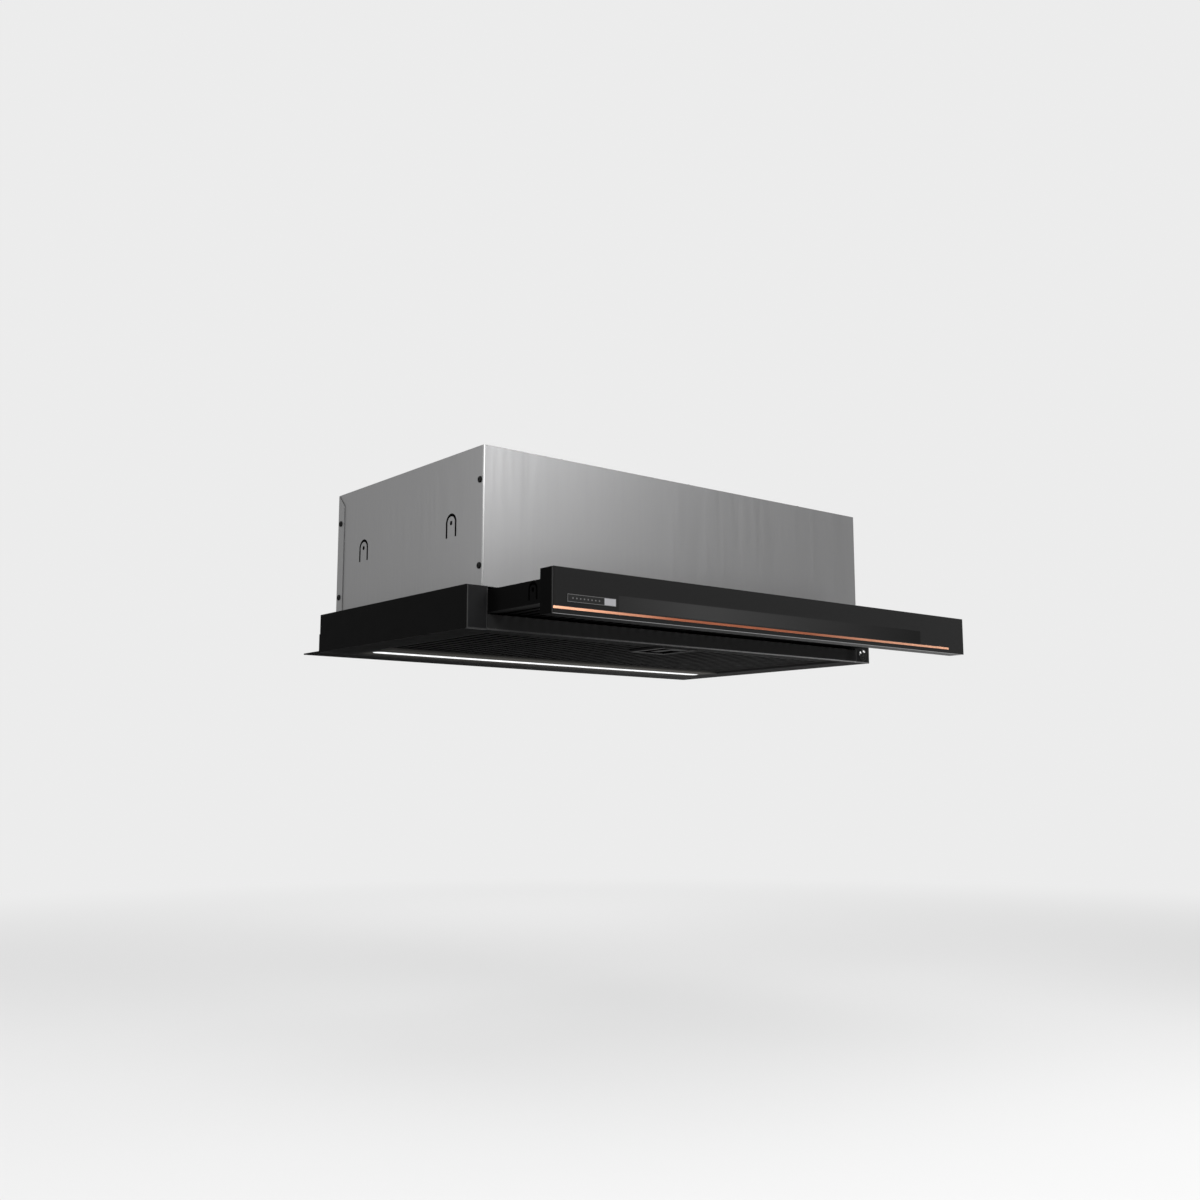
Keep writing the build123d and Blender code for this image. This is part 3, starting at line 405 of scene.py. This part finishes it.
def lens_spill(made):
    """How much painted lamp light, set as a glow of the coat, lies round the lens and on the border
    before it.
    """
    low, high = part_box("led_lens")
    border_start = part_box("filter_face")[1].y + 1.0 * MM
    off_lens = made.size(made.math("SUBTRACT", made.deep, (low.y + high.y) / 2))
    near = made.times(made.between(off_lens, 8.0 * MM, 38.0 * MM, SPILL_NEAR, 0.0),
                      made.fall(made.up, 12.0 * MM, 18.0 * MM))
    border = made.times(made.within(made.deep, border_start, low.y + 2.5 * MM),
                        made.below(made.up, CUT_EDGE),
                        made.between(made.across, -0.28, -0.05, 0.45, 1.0))
    ends = made.fall(made.size(made.across), LENS_X - 5.0 * MM, LENS_X + 10.0 * MM)
    return made.times(made.most(near, border), ends)


def black_coat():
    """Matt black powder coat, with painted light and shade on its parts, and a painted glow of lamp
    light round the lens.
    """
    colour = grey(COAT_SHADE)
    made = Finish("black_sheet", colour, 0.55, level=0.005)
    plain = made.mix(made.noise(7.0, 4.0), tint(colour, 0.94), tint(colour, 1.06))
    for shades in (plate_shades, drawer_shades, slot_shades):
        plain = shades(made, plain)
    made.set("Base Color", plain)
    # Painted light: the coat glows faintly round the lens, as if lit by it.
    made.set("Emission Color", made.mix(lens_spill(made), grey(0.0), WARM_SPILL))
    made.set("Emission Strength", SPILL_POWER)
    dull = made.times(underside(made), made.between(made.across, -0.3, 0.15, 0.16, 0.0))
    made.set("Roughness", made.math("ADD", made.spread(made.noise(60.0, 3.0), 0.5, 0.6), dull))
    made.bump(made.noise(1100.0, 2.0), 0.01 * MM, 0.15)


def moulded(name, colour, roughness, level=0.5, shades=None):
    """Moulded plastic with a spark-eroded grain. Shades may paint light and shade on places of it, and
    dull them.
    """
    made = Finish(name, colour, roughness, level=level)
    speckle = made.noise(2600.0, 3.0)
    plain = made.mix(made.noise(25.0, 3.0), tint(colour, 0.9), tint(colour, 1.12))
    rough = made.spread(speckle, roughness - 0.06, roughness + 0.08)
    if shades:
        plain, rough = shades(made, plain, rough)
    made.set("Base Color", plain)
    made.set("Roughness", rough)
    made.bump(speckle, 0.05 * MM, 0.35)


def rim_highlights(made, plain, rough):
    """A painted highlight along the rims of the end plates, palest under the right one."""
    rail_x, body_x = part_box("front_rail")[1].x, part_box("bottom_plate")[1].x
    wide = made.size(made.across)
    middle = made.times(made.within(wide, rail_x + CUT_EDGE, body_x - CUT_EDGE),
                        made.above(made.up, CUT_EDGE))
    front = made.times(made.within(made.deep, -CUT_EDGE, 3 * CUT_EDGE),
                       made.within(wide, rail_x, 1.0))
    low = made.times(made.above(made.across, 0.0), made.below(made.up, CUT_EDGE))
    line = made.mix(low, grey(OUTLINE_HIGHLIGHT), grey(LOW_LINE_HIGHLIGHT))
    rims = made.times(front, made.math("SUBTRACT", 1.0, middle))
    return made.mix(rims, plain, line), rough


def cupped(made, plain, rough):
    """Painted light on the walls of the handle's rim, and painted shade in its cup and along the
    latch's slit, which are also duller.
    """
    walls = made.below(made.size(made.facing()["Z"]), WALL)
    rim = made.times(walls, made.below(made.up, HANDLE_RIM_TOP))
    plain = made.mix(rim, plain, grey(HANDLE_RIM_PAINTED_LIGHT))
    # Painted shade in the cup, on its walls and along the latch's slit.
    inside = made.times(made.below(made.size(made.across), CUP_X), made.within(made.deep, *CUP_Y))
    dark = made.times(inside, made.most(walls, made.above(made.up, CUP_FLOOR),
                                        made.within(made.across, *LATCH_EDGE_X)))
    rough = made.math("ADD", rough, made.times(dark, CUP_DULL))
    return made.mix(dark, plain, grey(PAINTED_SHADE_WALL)), rough


def brushed(name, colour, roughness, along=LINES_ACROSS):
    """Metal with fine lines along one axis."""
    made = Finish(name, colour, roughness, metallic=1.0)
    lines = made.noise(40.0, 6.0, along)
    made.set("Base Color", made.mix(lines, tint(colour, 0.86), tint(colour, 1.1)))
    made.set("Roughness", made.spread(lines, roughness - 0.08, roughness + 0.1))
    made.bump(lines, 0.01 * MM, 0.4)


def dark_profile():
    """Dark anodised extrusion with fine lines along it, and a painted reflection that makes it paler to
    the right; duller at the left.
    """
    made = Finish("anodised_profile", grey(0.05), 0.5, level=0.01)
    lines = made.noise(40.0, 4.0, LINES_ACROSS)
    # Painted reflection: darkest at the left, palest at the right.
    shade = made.graded(made.across, PROFILE_PAINTED_REFLECTION)
    made.set("Base Color", made.mix(made.spread(lines, 0.0, 0.15), shade, grey(PROFILE_LINES)))
    dull = made.between(made.across, -0.29, -0.1, 0.3, 0.0)
    made.set("Roughness", made.math("ADD", made.spread(lines, 0.45, 0.6), dull))
    made.bump(lines, 0.01 * MM, 0.3)


def satin_sheet(name, roughness):
    """Satin steel with faint upright bands, painted shade on the walls of its slots and a painted
    highlight on the folds in front.
    """
    made = Finish(name, STEEL, roughness, metallic=0.75)
    bands = made.noise(9.0, 3.0, (1, 1, 0.02))
    grain = made.noise(240.0, 3.0, (1, 1, 0.05))
    plain = made.mix(bands, tint(STEEL, 0.98), tint(STEEL, 1.02))
    # Painted shade on the walls of the punched slots.
    punched = made.times(made.below(made.size(made.facing()["X"]), 0.93),
                         made.within(made.up, *PUNCHED_Z), made.within(made.deep, *PUNCHED_Y))
    plain = made.mix(punched, plain, grey(PUNCHED_PAINTED_SHADE))
    # Painted highlight where the sheet turns round a front fold.
    turn = made.node("SeparateXYZ", {"Vector": made.rounded(0.5 * MM)}).outputs
    corner = made.size(made.times(turn["X"], turn["Y"]))
    fold = made.times(made.rise(corner, 0.05, 0.3), made.within(made.deep, -FOLD_REAR, FOLD_REAR))
    made.set("Base Color", made.mix(fold, plain, grey(FOLD_HIGHLIGHT)))
    made.set("Roughness", made.spread(grain, roughness - 0.04, roughness + 0.05))
    made.bump(grain, 0.004 * MM, 0.1)


def printed_glass():
    """Dark gloss glass with ground edges, and a band of print behind its lower part. Its ground
    underside is paler to the right, in part by painted light, and its end face carries painted shade.
    """
    made = Finish("dark_glass", grey(GLASS_SHADE), 0.08, level=0.065)
    facing = made.facing()
    near = made.below(made.deep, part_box("glass_panel")[0].y + GROUND_DEEP)
    under = made.times(made.below(facing["Z"], -WALL), near)
    side = made.times(made.below(facing["X"], -0.3), near)
    # The ground underside: its own paler tone, with painted light that grows to the right.
    edge = made.mix(under, grey(GLASS_UNDER_SHADE), made.graded(made.across, GROUND_EDGE_AND_LIGHT_SHADES))
    # Painted shade on the glass's end face.
    edge = made.mix(side, edge, grey(PAINTED_SHADE_WALL))
    ground = made.most(made.below(made.size(facing["Y"]), WALL), side)
    band = made.times(made.within(made.across, *PRINT_X, PRINT_BLUR),
                      made.within(made.up, *PRINT_Z, PRINT_BLUR))
    face = made.mix(band, grey(GLASS_SHADE), made.graded(made.across, PRINT_SHADES))
    made.set("Base Color", made.mix(ground, face, edge))
    made.set("Roughness", made.spread(made.noise(18.0, 3.0), 0.07, 0.12))
    made.bump(made.noise(9.0, 1.0), 0.02 * MM, 0.1)


def copper_strip():
    """Brushed copper-coloured strip, with a painted sheen that makes it paler towards both ends, and
    painted shade along its upper edge.
    """
    made = Finish("copper_strip", COPPER, 0.36, metallic=0.9)
    lines = made.noise(50.0, 5.0, LINES_ACROSS)
    # Painted sheen: the strip pales towards both ends.
    ends = made.most(made.fall(made.across, -0.315, -0.155), made.rise(made.across, 0.03, 0.27))
    # Painted shade along the strip's upper edge.
    edge = made.within(made.up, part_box("accent_strip")[1].z - STRIP_EDGE, 1.0)
    colour = made.mix(ends, DEEP_COPPER, SHEEN_COPPER)
    made.set("Base Color", made.mix(edge, colour, grey(STRIP_EDGE_PAINTED_SHADE)))
    made.set("Roughness", made.spread(lines, 0.28, 0.4))
    made.bump(lines, 0.01 * MM, 0.4)


def rim_with_painted_glints():
    """Dark spun metal with painted glints: two bright wedges and a tail."""
    made = Finish("button_metal", grey(0.02), 0.3, metallic=0.6, level=0.05)
    low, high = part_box("button_bezel")
    across = made.math("SUBTRACT", made.across, (low.x + high.x) / 2)
    up = made.math("SUBTRACT", made.up, (low.z + high.z) / 2)
    turn = made.math("ARCTAN2", up, across)
    reach = made.math("SQRT", made.math("ADD", made.times(across, across), made.times(up, up)))

    def wedge(start, end, inner):
        spread = made.within(turn, radians(start), radians(end), radians(WEDGE_BLUR))
        return made.times(spread, made.above(reach, inner))

    bright = made.most(*(wedge(start, end, WEDGE_FROM) for start, end in GLINT_WEDGES),
                       made.times(wedge(*GLINT_TAIL, TAIL_FROM), TAIL_LEVEL))
    made.set("Base Color", made.mix(bright, grey(RIM_DARK), grey(GLINT_BRIGHT)))
    made.set("Roughness", made.spread(made.noise(400.0, 2.0), 0.24, 0.34))


def lit_lens():
    """Frosted lens, lit by a row of diodes that shows only faintly, and dimmer along its sides."""
    made = Finish("lamp_lens", LENS, 0.5)
    low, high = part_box("led_lens")
    row = made.math("COSINE", made.times(made.across, 2 * pi / DIODE_PITCH))
    glow = made.mix(made.rise(row, -1.0, 1.0), COOL_DIODE, grey(1.0))
    off_middle = made.size(made.math("SUBTRACT", made.deep, (low.y + high.y) / 2))
    sides = made.rise(off_middle, 0.4 * MM, 6.2 * MM)
    made.set("Emission Color", made.mix(sides, glow, grey(LENS_EDGE_SHADE)))
    made.set("Emission Strength", 1.0)
    made.bump(made.noise(900.0, 2.0), 0.02 * MM, 0.3)


def finish_parts():
    """Makes every finish and gives each CAD piece its own, or else the finish of its slot."""
    satin_sheet("grey_sheet", 0.4)
    satin_sheet("top_sheet", 0.62)
    for make in (black_coat, printed_glass, dark_profile, copper_strip, lit_lens, rim_with_painted_glints):
        make()
    for plastic in (
            ("black_plastic", (0.0095, 0.0095, 0.0098, 1), 0.48, 0.02, rim_highlights),
            ("black_screw", grey(0.004), 0.4, 0.05),
            ("cap_plastic", grey(0.0025), 0.6, 0.004),
            ("handle_plastic", grey(0.0052), 0.48, 0.02, cupped),
            # slot_black: the painted shade of the plates behind the drawer slots
            ("slot_black", grey(0.0004), 0.7, 0.002),
            ("badge_line", grey(0.09), 0.4, 0.1),
            ("badge_face", grey(0.01), 0.3, 0.08),
            ("circuit_board", (0.8, 0.82, 0.8, 1), 0.4),
            ("white_plastic", (0.75, 0.75, 0.73, 1), 0.4),
            ("grey_plastic", (0.2, 0.2, 0.21, 1), 0.45),
            ("button_cap", grey(0.01), 0.2, 0.1),
            ("black_rubber", grey(0.012), 0.7)):
        moulded(*plastic)
    brushed("bright_steel", grey(0.6), 0.25)
    brushed("zinc_sheet", (0.5, 0.51, 0.52, 1), 0.4)
    brushed("motor_core", (0.25, 0.23, 0.22, 1), 0.5, (60, 1, 1))
    own = {"profile_end_caps": "cap_plastic", "filter_handle": "handle_plastic",
           "filter_latch": "handle_plastic", "box_top_panel": "top_sheet"}
    for part in frame["record"]["subparts"]:
        piece = nodes[part["node"]]
        for place in piece.material_slots:
            place.material = finishes[own.get(part["node"], part["material_slot"])]


def soften(piece):
    """Rounds the sharp edges of a CAD piece by modifiers."""
    weld = piece.modifiers.new("weld", "WELD")
    weld.merge_threshold = WELD
    flat = piece.modifiers.new("flat", "DECIMATE")
    flat.decimate_type = "DISSOLVE"
    flat.angle_limit = radians(FLAT_ANGLE)
    bevel = piece.modifiers.new("bevel", "BEVEL")
    bevel.width = EDGE
    bevel.segments = 2
    bevel.limit_method = "ANGLE"
    bevel.angle_limit = radians(EDGE_ANGLE)
    bevel.harden_normals = True


def bridged(shape, low, high):
    """Joins two rings of vertices by a band of faces."""
    count = len(low)
    for index in range(count):
        after = (index + 1) % count
        shape.faces.new((low[index], low[after], high[after], high[index]))


def turned(shape, profile, foot, along, segments, ripple=None):
    """Adds a solid of revolution: profile lists (radius, height) from the foot up.

    A ripple gives what the radius is scaled by, from the profile's step and the angle.
    """
    turn = Vector((0, 0, 1)).rotation_difference(Vector(along)).to_matrix().to_4x4()
    place = Matrix.Translation(Vector(foot)) @ turn
    rings = []
    for step, (radius, height) in enumerate(profile):
        ring = []
        for index in range(segments):
            angle = 2 * pi * index / segments
            wide = radius * (ripple(step, angle) if ripple else 1.0)
            ring.append(shape.verts.new(place @ Vector((wide * cos(angle), wide * sin(angle), height))))
        rings.append(ring)
    for low, high in zip(rings, rings[1:]):
        bridged(shape, low, high)
    return rings, place


def merged(shape):
    bmesh.ops.remove_doubles(shape, verts=shape.verts, dist=WELD)


def screw(shape, seat, along):
    """A pan-head screw with a cross recess and a rolled thread."""
    segments, turns, steps, levels = 64, 7, 8, 7
    profile = [(SCREW_SHANK * 0.55, -SCREW_LENGTH)]
    for step in range(turns):
        low = -SCREW_LENGTH + SCREW_LENGTH * (step + 0.35) / turns
        profile += [(SCREW_SHANK, low), (SCREW_SHANK * 0.8, low + 0.35 * SCREW_LENGTH / turns)]
    profile += [(SCREW_SHANK, 0.0), (SCREW_HEAD, 0.0), (SCREW_HEAD, SCREW_RISE * 0.3)]
    for step in range(1, steps + 1):
        angle = pi / 2 * step / (steps + 1)
        profile.append((SCREW_HEAD * cos(angle) ** 0.55, SCREW_RISE * (0.3 + 0.7 * sin(angle))))
    rings, place = turned(shape, profile, seat, along, segments)
    shape.faces.new(list(reversed(rings[0])))
    arm, reach, depth = SCREW_HEAD * 0.14, SCREW_HEAD * 0.62, SCREW_RISE * 0.6
    last = rings[-1]
    outer = profile[-1][0]
    for level in range(1, levels):
        radius = outer * (1 - level / levels)
        ring = []
        for index in range(segments):
            angle = 2 * pi * index / segments
            x, y = radius * cos(angle), radius * sin(angle)
            sunk = min(abs(x), abs(y)) < arm and radius < reach
            ring.append(shape.verts.new(place @ Vector((x, y, SCREW_RISE - (depth if sunk else 0.0)))))
        bridged(shape, last, ring)
        last = ring
    middle = shape.verts.new(place @ Vector((0, 0, SCREW_RISE - depth)))
    for index in range(segments):
        shape.faces.new((last[index], last[(index + 1) % segments], middle))


def finished(name, shape, body, slot, *stands_for, finish=None):
    """Turns a bmesh into a piece that rides on a body, in its own finish or else its slot's."""
    bmesh.ops.recalc_face_normals(shape, faces=shape.faces)
    mesh = bpy.data.meshes.new(name)
    shape.to_mesh(mesh)
    shape.free()
    for face in mesh.polygons:
        face.use_smooth = True
    mesh.set_sharp_from_angle(angle=radians(SMOOTH_ANGLE))
    mesh.materials.append(finishes[finish or slot])
    made = bpy.data.objects.new(name, mesh)
    bpy.context.scene.collection.objects.link(made)
    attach(made, body)
    if stands_for:
        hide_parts(*stands_for)


def islands(node):
    """The lowest and highest corners of each separate solid in a CAD node."""
    shape = bmesh.new()
    shape.from_mesh(nodes[node].data)
    merged(shape)
    left, found = set(shape.verts), []
    while left:
        group, edge = set(), [left.pop()]
        while edge:
            vert = edge.pop()
            group.add(vert)
            for link in vert.link_edges:
                other = link.other_vert(vert)
                if other in left:
                    left.discard(other)
                    edge.append(other)
        spots = [v.co for v in group]
        found.append((Vector(min(s[i] for s in spots) for i in range(3)),
                      Vector(max(s[i] for s in spots) for i in range(3))))
    shape.free()
    return sorted(found, key=lambda pair: tuple(pair[0]))


def screws(node):
    """Replaces the plain screws of a CAD node by detailed ones in the same places."""
    shape = bmesh.new()
    for low, high in islands(node):
        middle = (low + high) / 2
        if high.z > BOX_TOP:
            seat, along = (middle.x, middle.y, high.z - SCREW_RISE), (0, 0, 1)
        elif high.y > BODY_DEPTH:
            seat, along = (middle.x, high.y - SCREW_RISE, middle.z), (0, 1, 0)
        else:
            side = 1 if middle.x > 0 else -1
            outside = high.x if side > 0 else low.x
            seat, along = (outside - side * SCREW_RISE, middle.y, middle.z), (side, 0, 0)
        screw(shape, seat, along)
    finished(node + "_detailed", shape, "housing", "black_screw", node)


def cable_gland():
    """The gland with a hexagonal foot, a ribbed dome nut and a rubber throat."""
    low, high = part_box("cable_gland")
    x, y = (low.x + high.x) / 2, (low.y + high.y) / 2
    outer = (high.x - low.x) / 2
    wide, shoulder = outer * 0.98, outer * 0.86
    base = high.z - GLAND_RISE
    hexagon, ribbed = (1, 2, 5, 6), (7, 8)  # steps of the profile
    profile = [(GLAND_BORE, low.z), (wide, low.z), (wide, base - SHEET),
               (GLAND_NECK, base - SHEET), (GLAND_NECK, base),
               (wide, base), (wide, base + GLAND_FOOT), (shoulder, base + GLAND_NUT[0]),
               (shoulder, base + GLAND_NUT[1]), (outer * 0.7, high.z - 0.9 * MM),
               (outer * 0.56, high.z), (GLAND_BORE, high.z), (GLAND_BORE, low.z)]

    def ripple(step, angle):
        if step in hexagon:
            return cos(pi / 6) / cos((angle + pi / 6) % (pi / 3) - pi / 6)
        if step in ribbed:
            return 1.0 + 0.025 * cos(20 * angle)
        return 1.0

    shape = bmesh.new()
    turned(shape, profile, (x, y, 0), (0, 0, 1), 120, ripple)
    merged(shape)
    finished("cable_gland_detailed", shape, "housing", "black_plastic", "cable_gland")


def slab(shape, low, high):
    made = bmesh.ops.create_cube(shape, size=1.0)["verts"]
    low, high = Vector(low), Vector(high)
    bmesh.ops.scale(shape, vec=high - low, verts=made)
    bmesh.ops.translate(shape, vec=(low + high) / 2, verts=made)


def push_button():
    """The cap of the push button: a metal rim round a dark dome."""
    low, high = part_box("light_button")
    foot = ((low.x + high.x) / 2, high.y, (low.z + high.z) / 2)
    radius, long = (high.x - low.x) / 2, high.y - low.y
    rim = radius * BUTTON_RIM
    shape = bmesh.new()
    profile = [(rim, long - 0.5 * MM), (rim, 0.0), (radius, 0.0), (radius, long - 0.45 * MM),
               (radius - 0.2 * MM, long - BUTTON_LIP), (rim + BUTTON_LIP, long - BUTTON_LIP),
               (rim, long - 0.5 * MM)]
    turned(shape, profile, foot, (0, -1, 0), 72)
    merged(shape)
    finished("light_button_rim", shape, "light_button", "button_metal", "light_button")
    shape = bmesh.new()
    profile = [(rim, 1.0 * MM), (rim, long - BUTTON_RISE)]
    for step in range(1, 9):
        angle = pi / 2 * step / 9
        profile.append((rim * cos(angle), long - BUTTON_RISE + BUTTON_RISE * sin(angle)))
    rings = turned(shape, profile, foot, (0, -1, 0), 72)[0]
    shape.faces.new(rings[0])
    shape.faces.new(rings[-1])
    finished("light_button_dome", shape, "light_button", "button_cap")


def badge_trim():
    """A fine frame round the small plate, a row of plain dots and a bare pale cell at its end."""
    low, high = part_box("badge_plate")
    line = BADGE_LINE
    near, far = low.y - BADGE_RISE, low.y + BADGE_RISE
    split = high.x - (high.x - low.x) * BADGE_CELL
    shape = bmesh.new()
    slab(shape, (low.x, near, low.z), (high.x, far, low.z + line))
    slab(shape, (low.x, near, high.z - line), (high.x, far, high.z))
    for x in (low.x, split - line, high.x - line):
        slab(shape, (x, near, low.z + line), (x + line, far, high.z - line))
    long, middle = split - low.x, (low.z + high.z) / 2
    profile = [(DOT, -BADGE_RISE), (DOT, BADGE_RISE * 0.6), (DOT * 0.8, BADGE_RISE), (WELD, BADGE_RISE)]
    for step in range(DOTS):
        x = low.x + long * (step + 1.4) / (DOTS + 1.8)
        turned(shape, profile, (x, low.y, middle), (0, -1, 0), 16)
    finished("badge_frame", shape, "drawer", "badge_face", finish="badge_line")
    shape = bmesh.new()
    slab(shape, (split, near, low.z + line), (high.x - line, far, high.z - line))
    finished("badge_cell", shape, "drawer", "grey_plastic")


def slot_shade_plates():
    """A thin black plate behind the slotted tab of each drawer side, which stands in for shade, so that
    the slot reads dark.
    """
    for name, side in (("left", -1), ("right", 1)):
        low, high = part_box("drawer_%s_side" % name)
        outer = high.x if side > 0 else low.x
        near = outer - side * (SHEET + BACKING_GAP)
        far = outer - side * (SHEET + BACKING_GAP + BACKING_THICK)
        rise = 2 * SHEET + BACKING_GAP
        shape = bmesh.new()
        slab(shape, (min(near, far), BACKING_Y[0], low.z + rise),
             (max(near, far), BACKING_Y[1], high.z - rise))
        corners = [edge for edge in shape.edges
                   if abs((edge.verts[0].co - edge.verts[1].co).x) > 0.1 * MM]
        bmesh.ops.bevel(shape, geom=corners, offset=BACKING_CORNER, segments=4, affect="EDGES",
                        profile=0.5)
        finished("drawer_%s_slot_backing" % name, shape, "drawer", "black_sheet", finish="slot_black")


def area_light(name, place, target, size, power):
    data = bpy.data.lights.new(name, "AREA")
    data.shape = "RECTANGLE"
    data.size, data.size_y = size
    data.energy = power
    lamp = bpy.data.objects.new(name, data)
    bpy.context.scene.collection.objects.link(lamp)
    lamp.location = place
    lamp.visible_camera = False
    lamp.rotation_euler = (Vector(target) - Vector(place)).to_track_quat("-Z", "Y").to_euler()


def pale_floor():
    """A pale floor that keeps the object's shadow and turns into the background further off."""
    mesh = bpy.data.meshes.new("floor")
    shape = bmesh.new()
    bmesh.ops.create_circle(shape, cap_ends=True, segments=96, radius=FLOOR_RADIUS)
    shape.to_mesh(mesh)
    shape.free()
    floor = bpy.data.objects.new("floor", mesh)
    floor.location.z = FLOOR_Z
    bpy.context.scene.collection.objects.link(floor)
    paint = Finish("floor_paint", grey(FLOOR_SHADE), 0.8, level=0.1)
    reach = paint.node("VectorMath", {0: paint.place}, operation="LENGTH").outputs["Value"]
    limits = {"Value": reach, "From Min": FLOOR_FADE[0], "From Max": FLOOR_FADE[1]}
    away = paint.node("MapRange", limits, interpolation_type="SMOOTHSTEP").outputs["Result"]
    glow = paint.node("Emission", {"Color": grey(1.0), "Strength": BACKGROUND}).outputs[0]
    lifted = paint.times(paint.between(away, 0.0, 1.0, FLOOR_LIFT, 1.0), paint.shows_background())
    blend = paint.node("MixShader", {0: lifted, 1: paint.shader.outputs[0], 2: glow}).outputs[0]
    paint.connect(blend, paint.tree.nodes["Material Output"].inputs["Surface"])
    mesh.materials.append(paint.material)


def pale_world():
    """A world that shows the background, and lights the object at a plain level."""
    world = bpy.data.worlds.new("studio")
    world.use_nodes = True
    made = Nodes(world.node_tree)
    shade = made.tree.nodes["Background"].inputs
    level = made.between(made.shows_background(), 0.0, 1.0, AMBIENT, BACKGROUND)
    made.connect(grey(1.0), shade["Color"])
    made.connect(level, shade["Strength"])
    bpy.context.scene.world = world


def camera():
    data = bpy.data.cameras.new("camera")
    data.sensor_width = SENSOR
    data.lens = CAMERA_LENS
    made = bpy.data.objects.new("camera", data)
    made.location = CAMERA_PLACE
    made.rotation_euler = [radians(turn) for turn in CAMERA_TURN]
    bpy.context.scene.collection.objects.link(made)
    bpy.context.scene.camera = made


finish_parts()
pale_floor()
pale_world()
for lamp in LAMPS:
    area_light(*lamp)
camera()
for piece in nodes.values():
    soften(piece)
screws("sheet_screws")
cable_gland()
push_button()
badge_trim()
slot_shade_plates()
bpy.context.scene.view_settings.view_transform = "Standard"
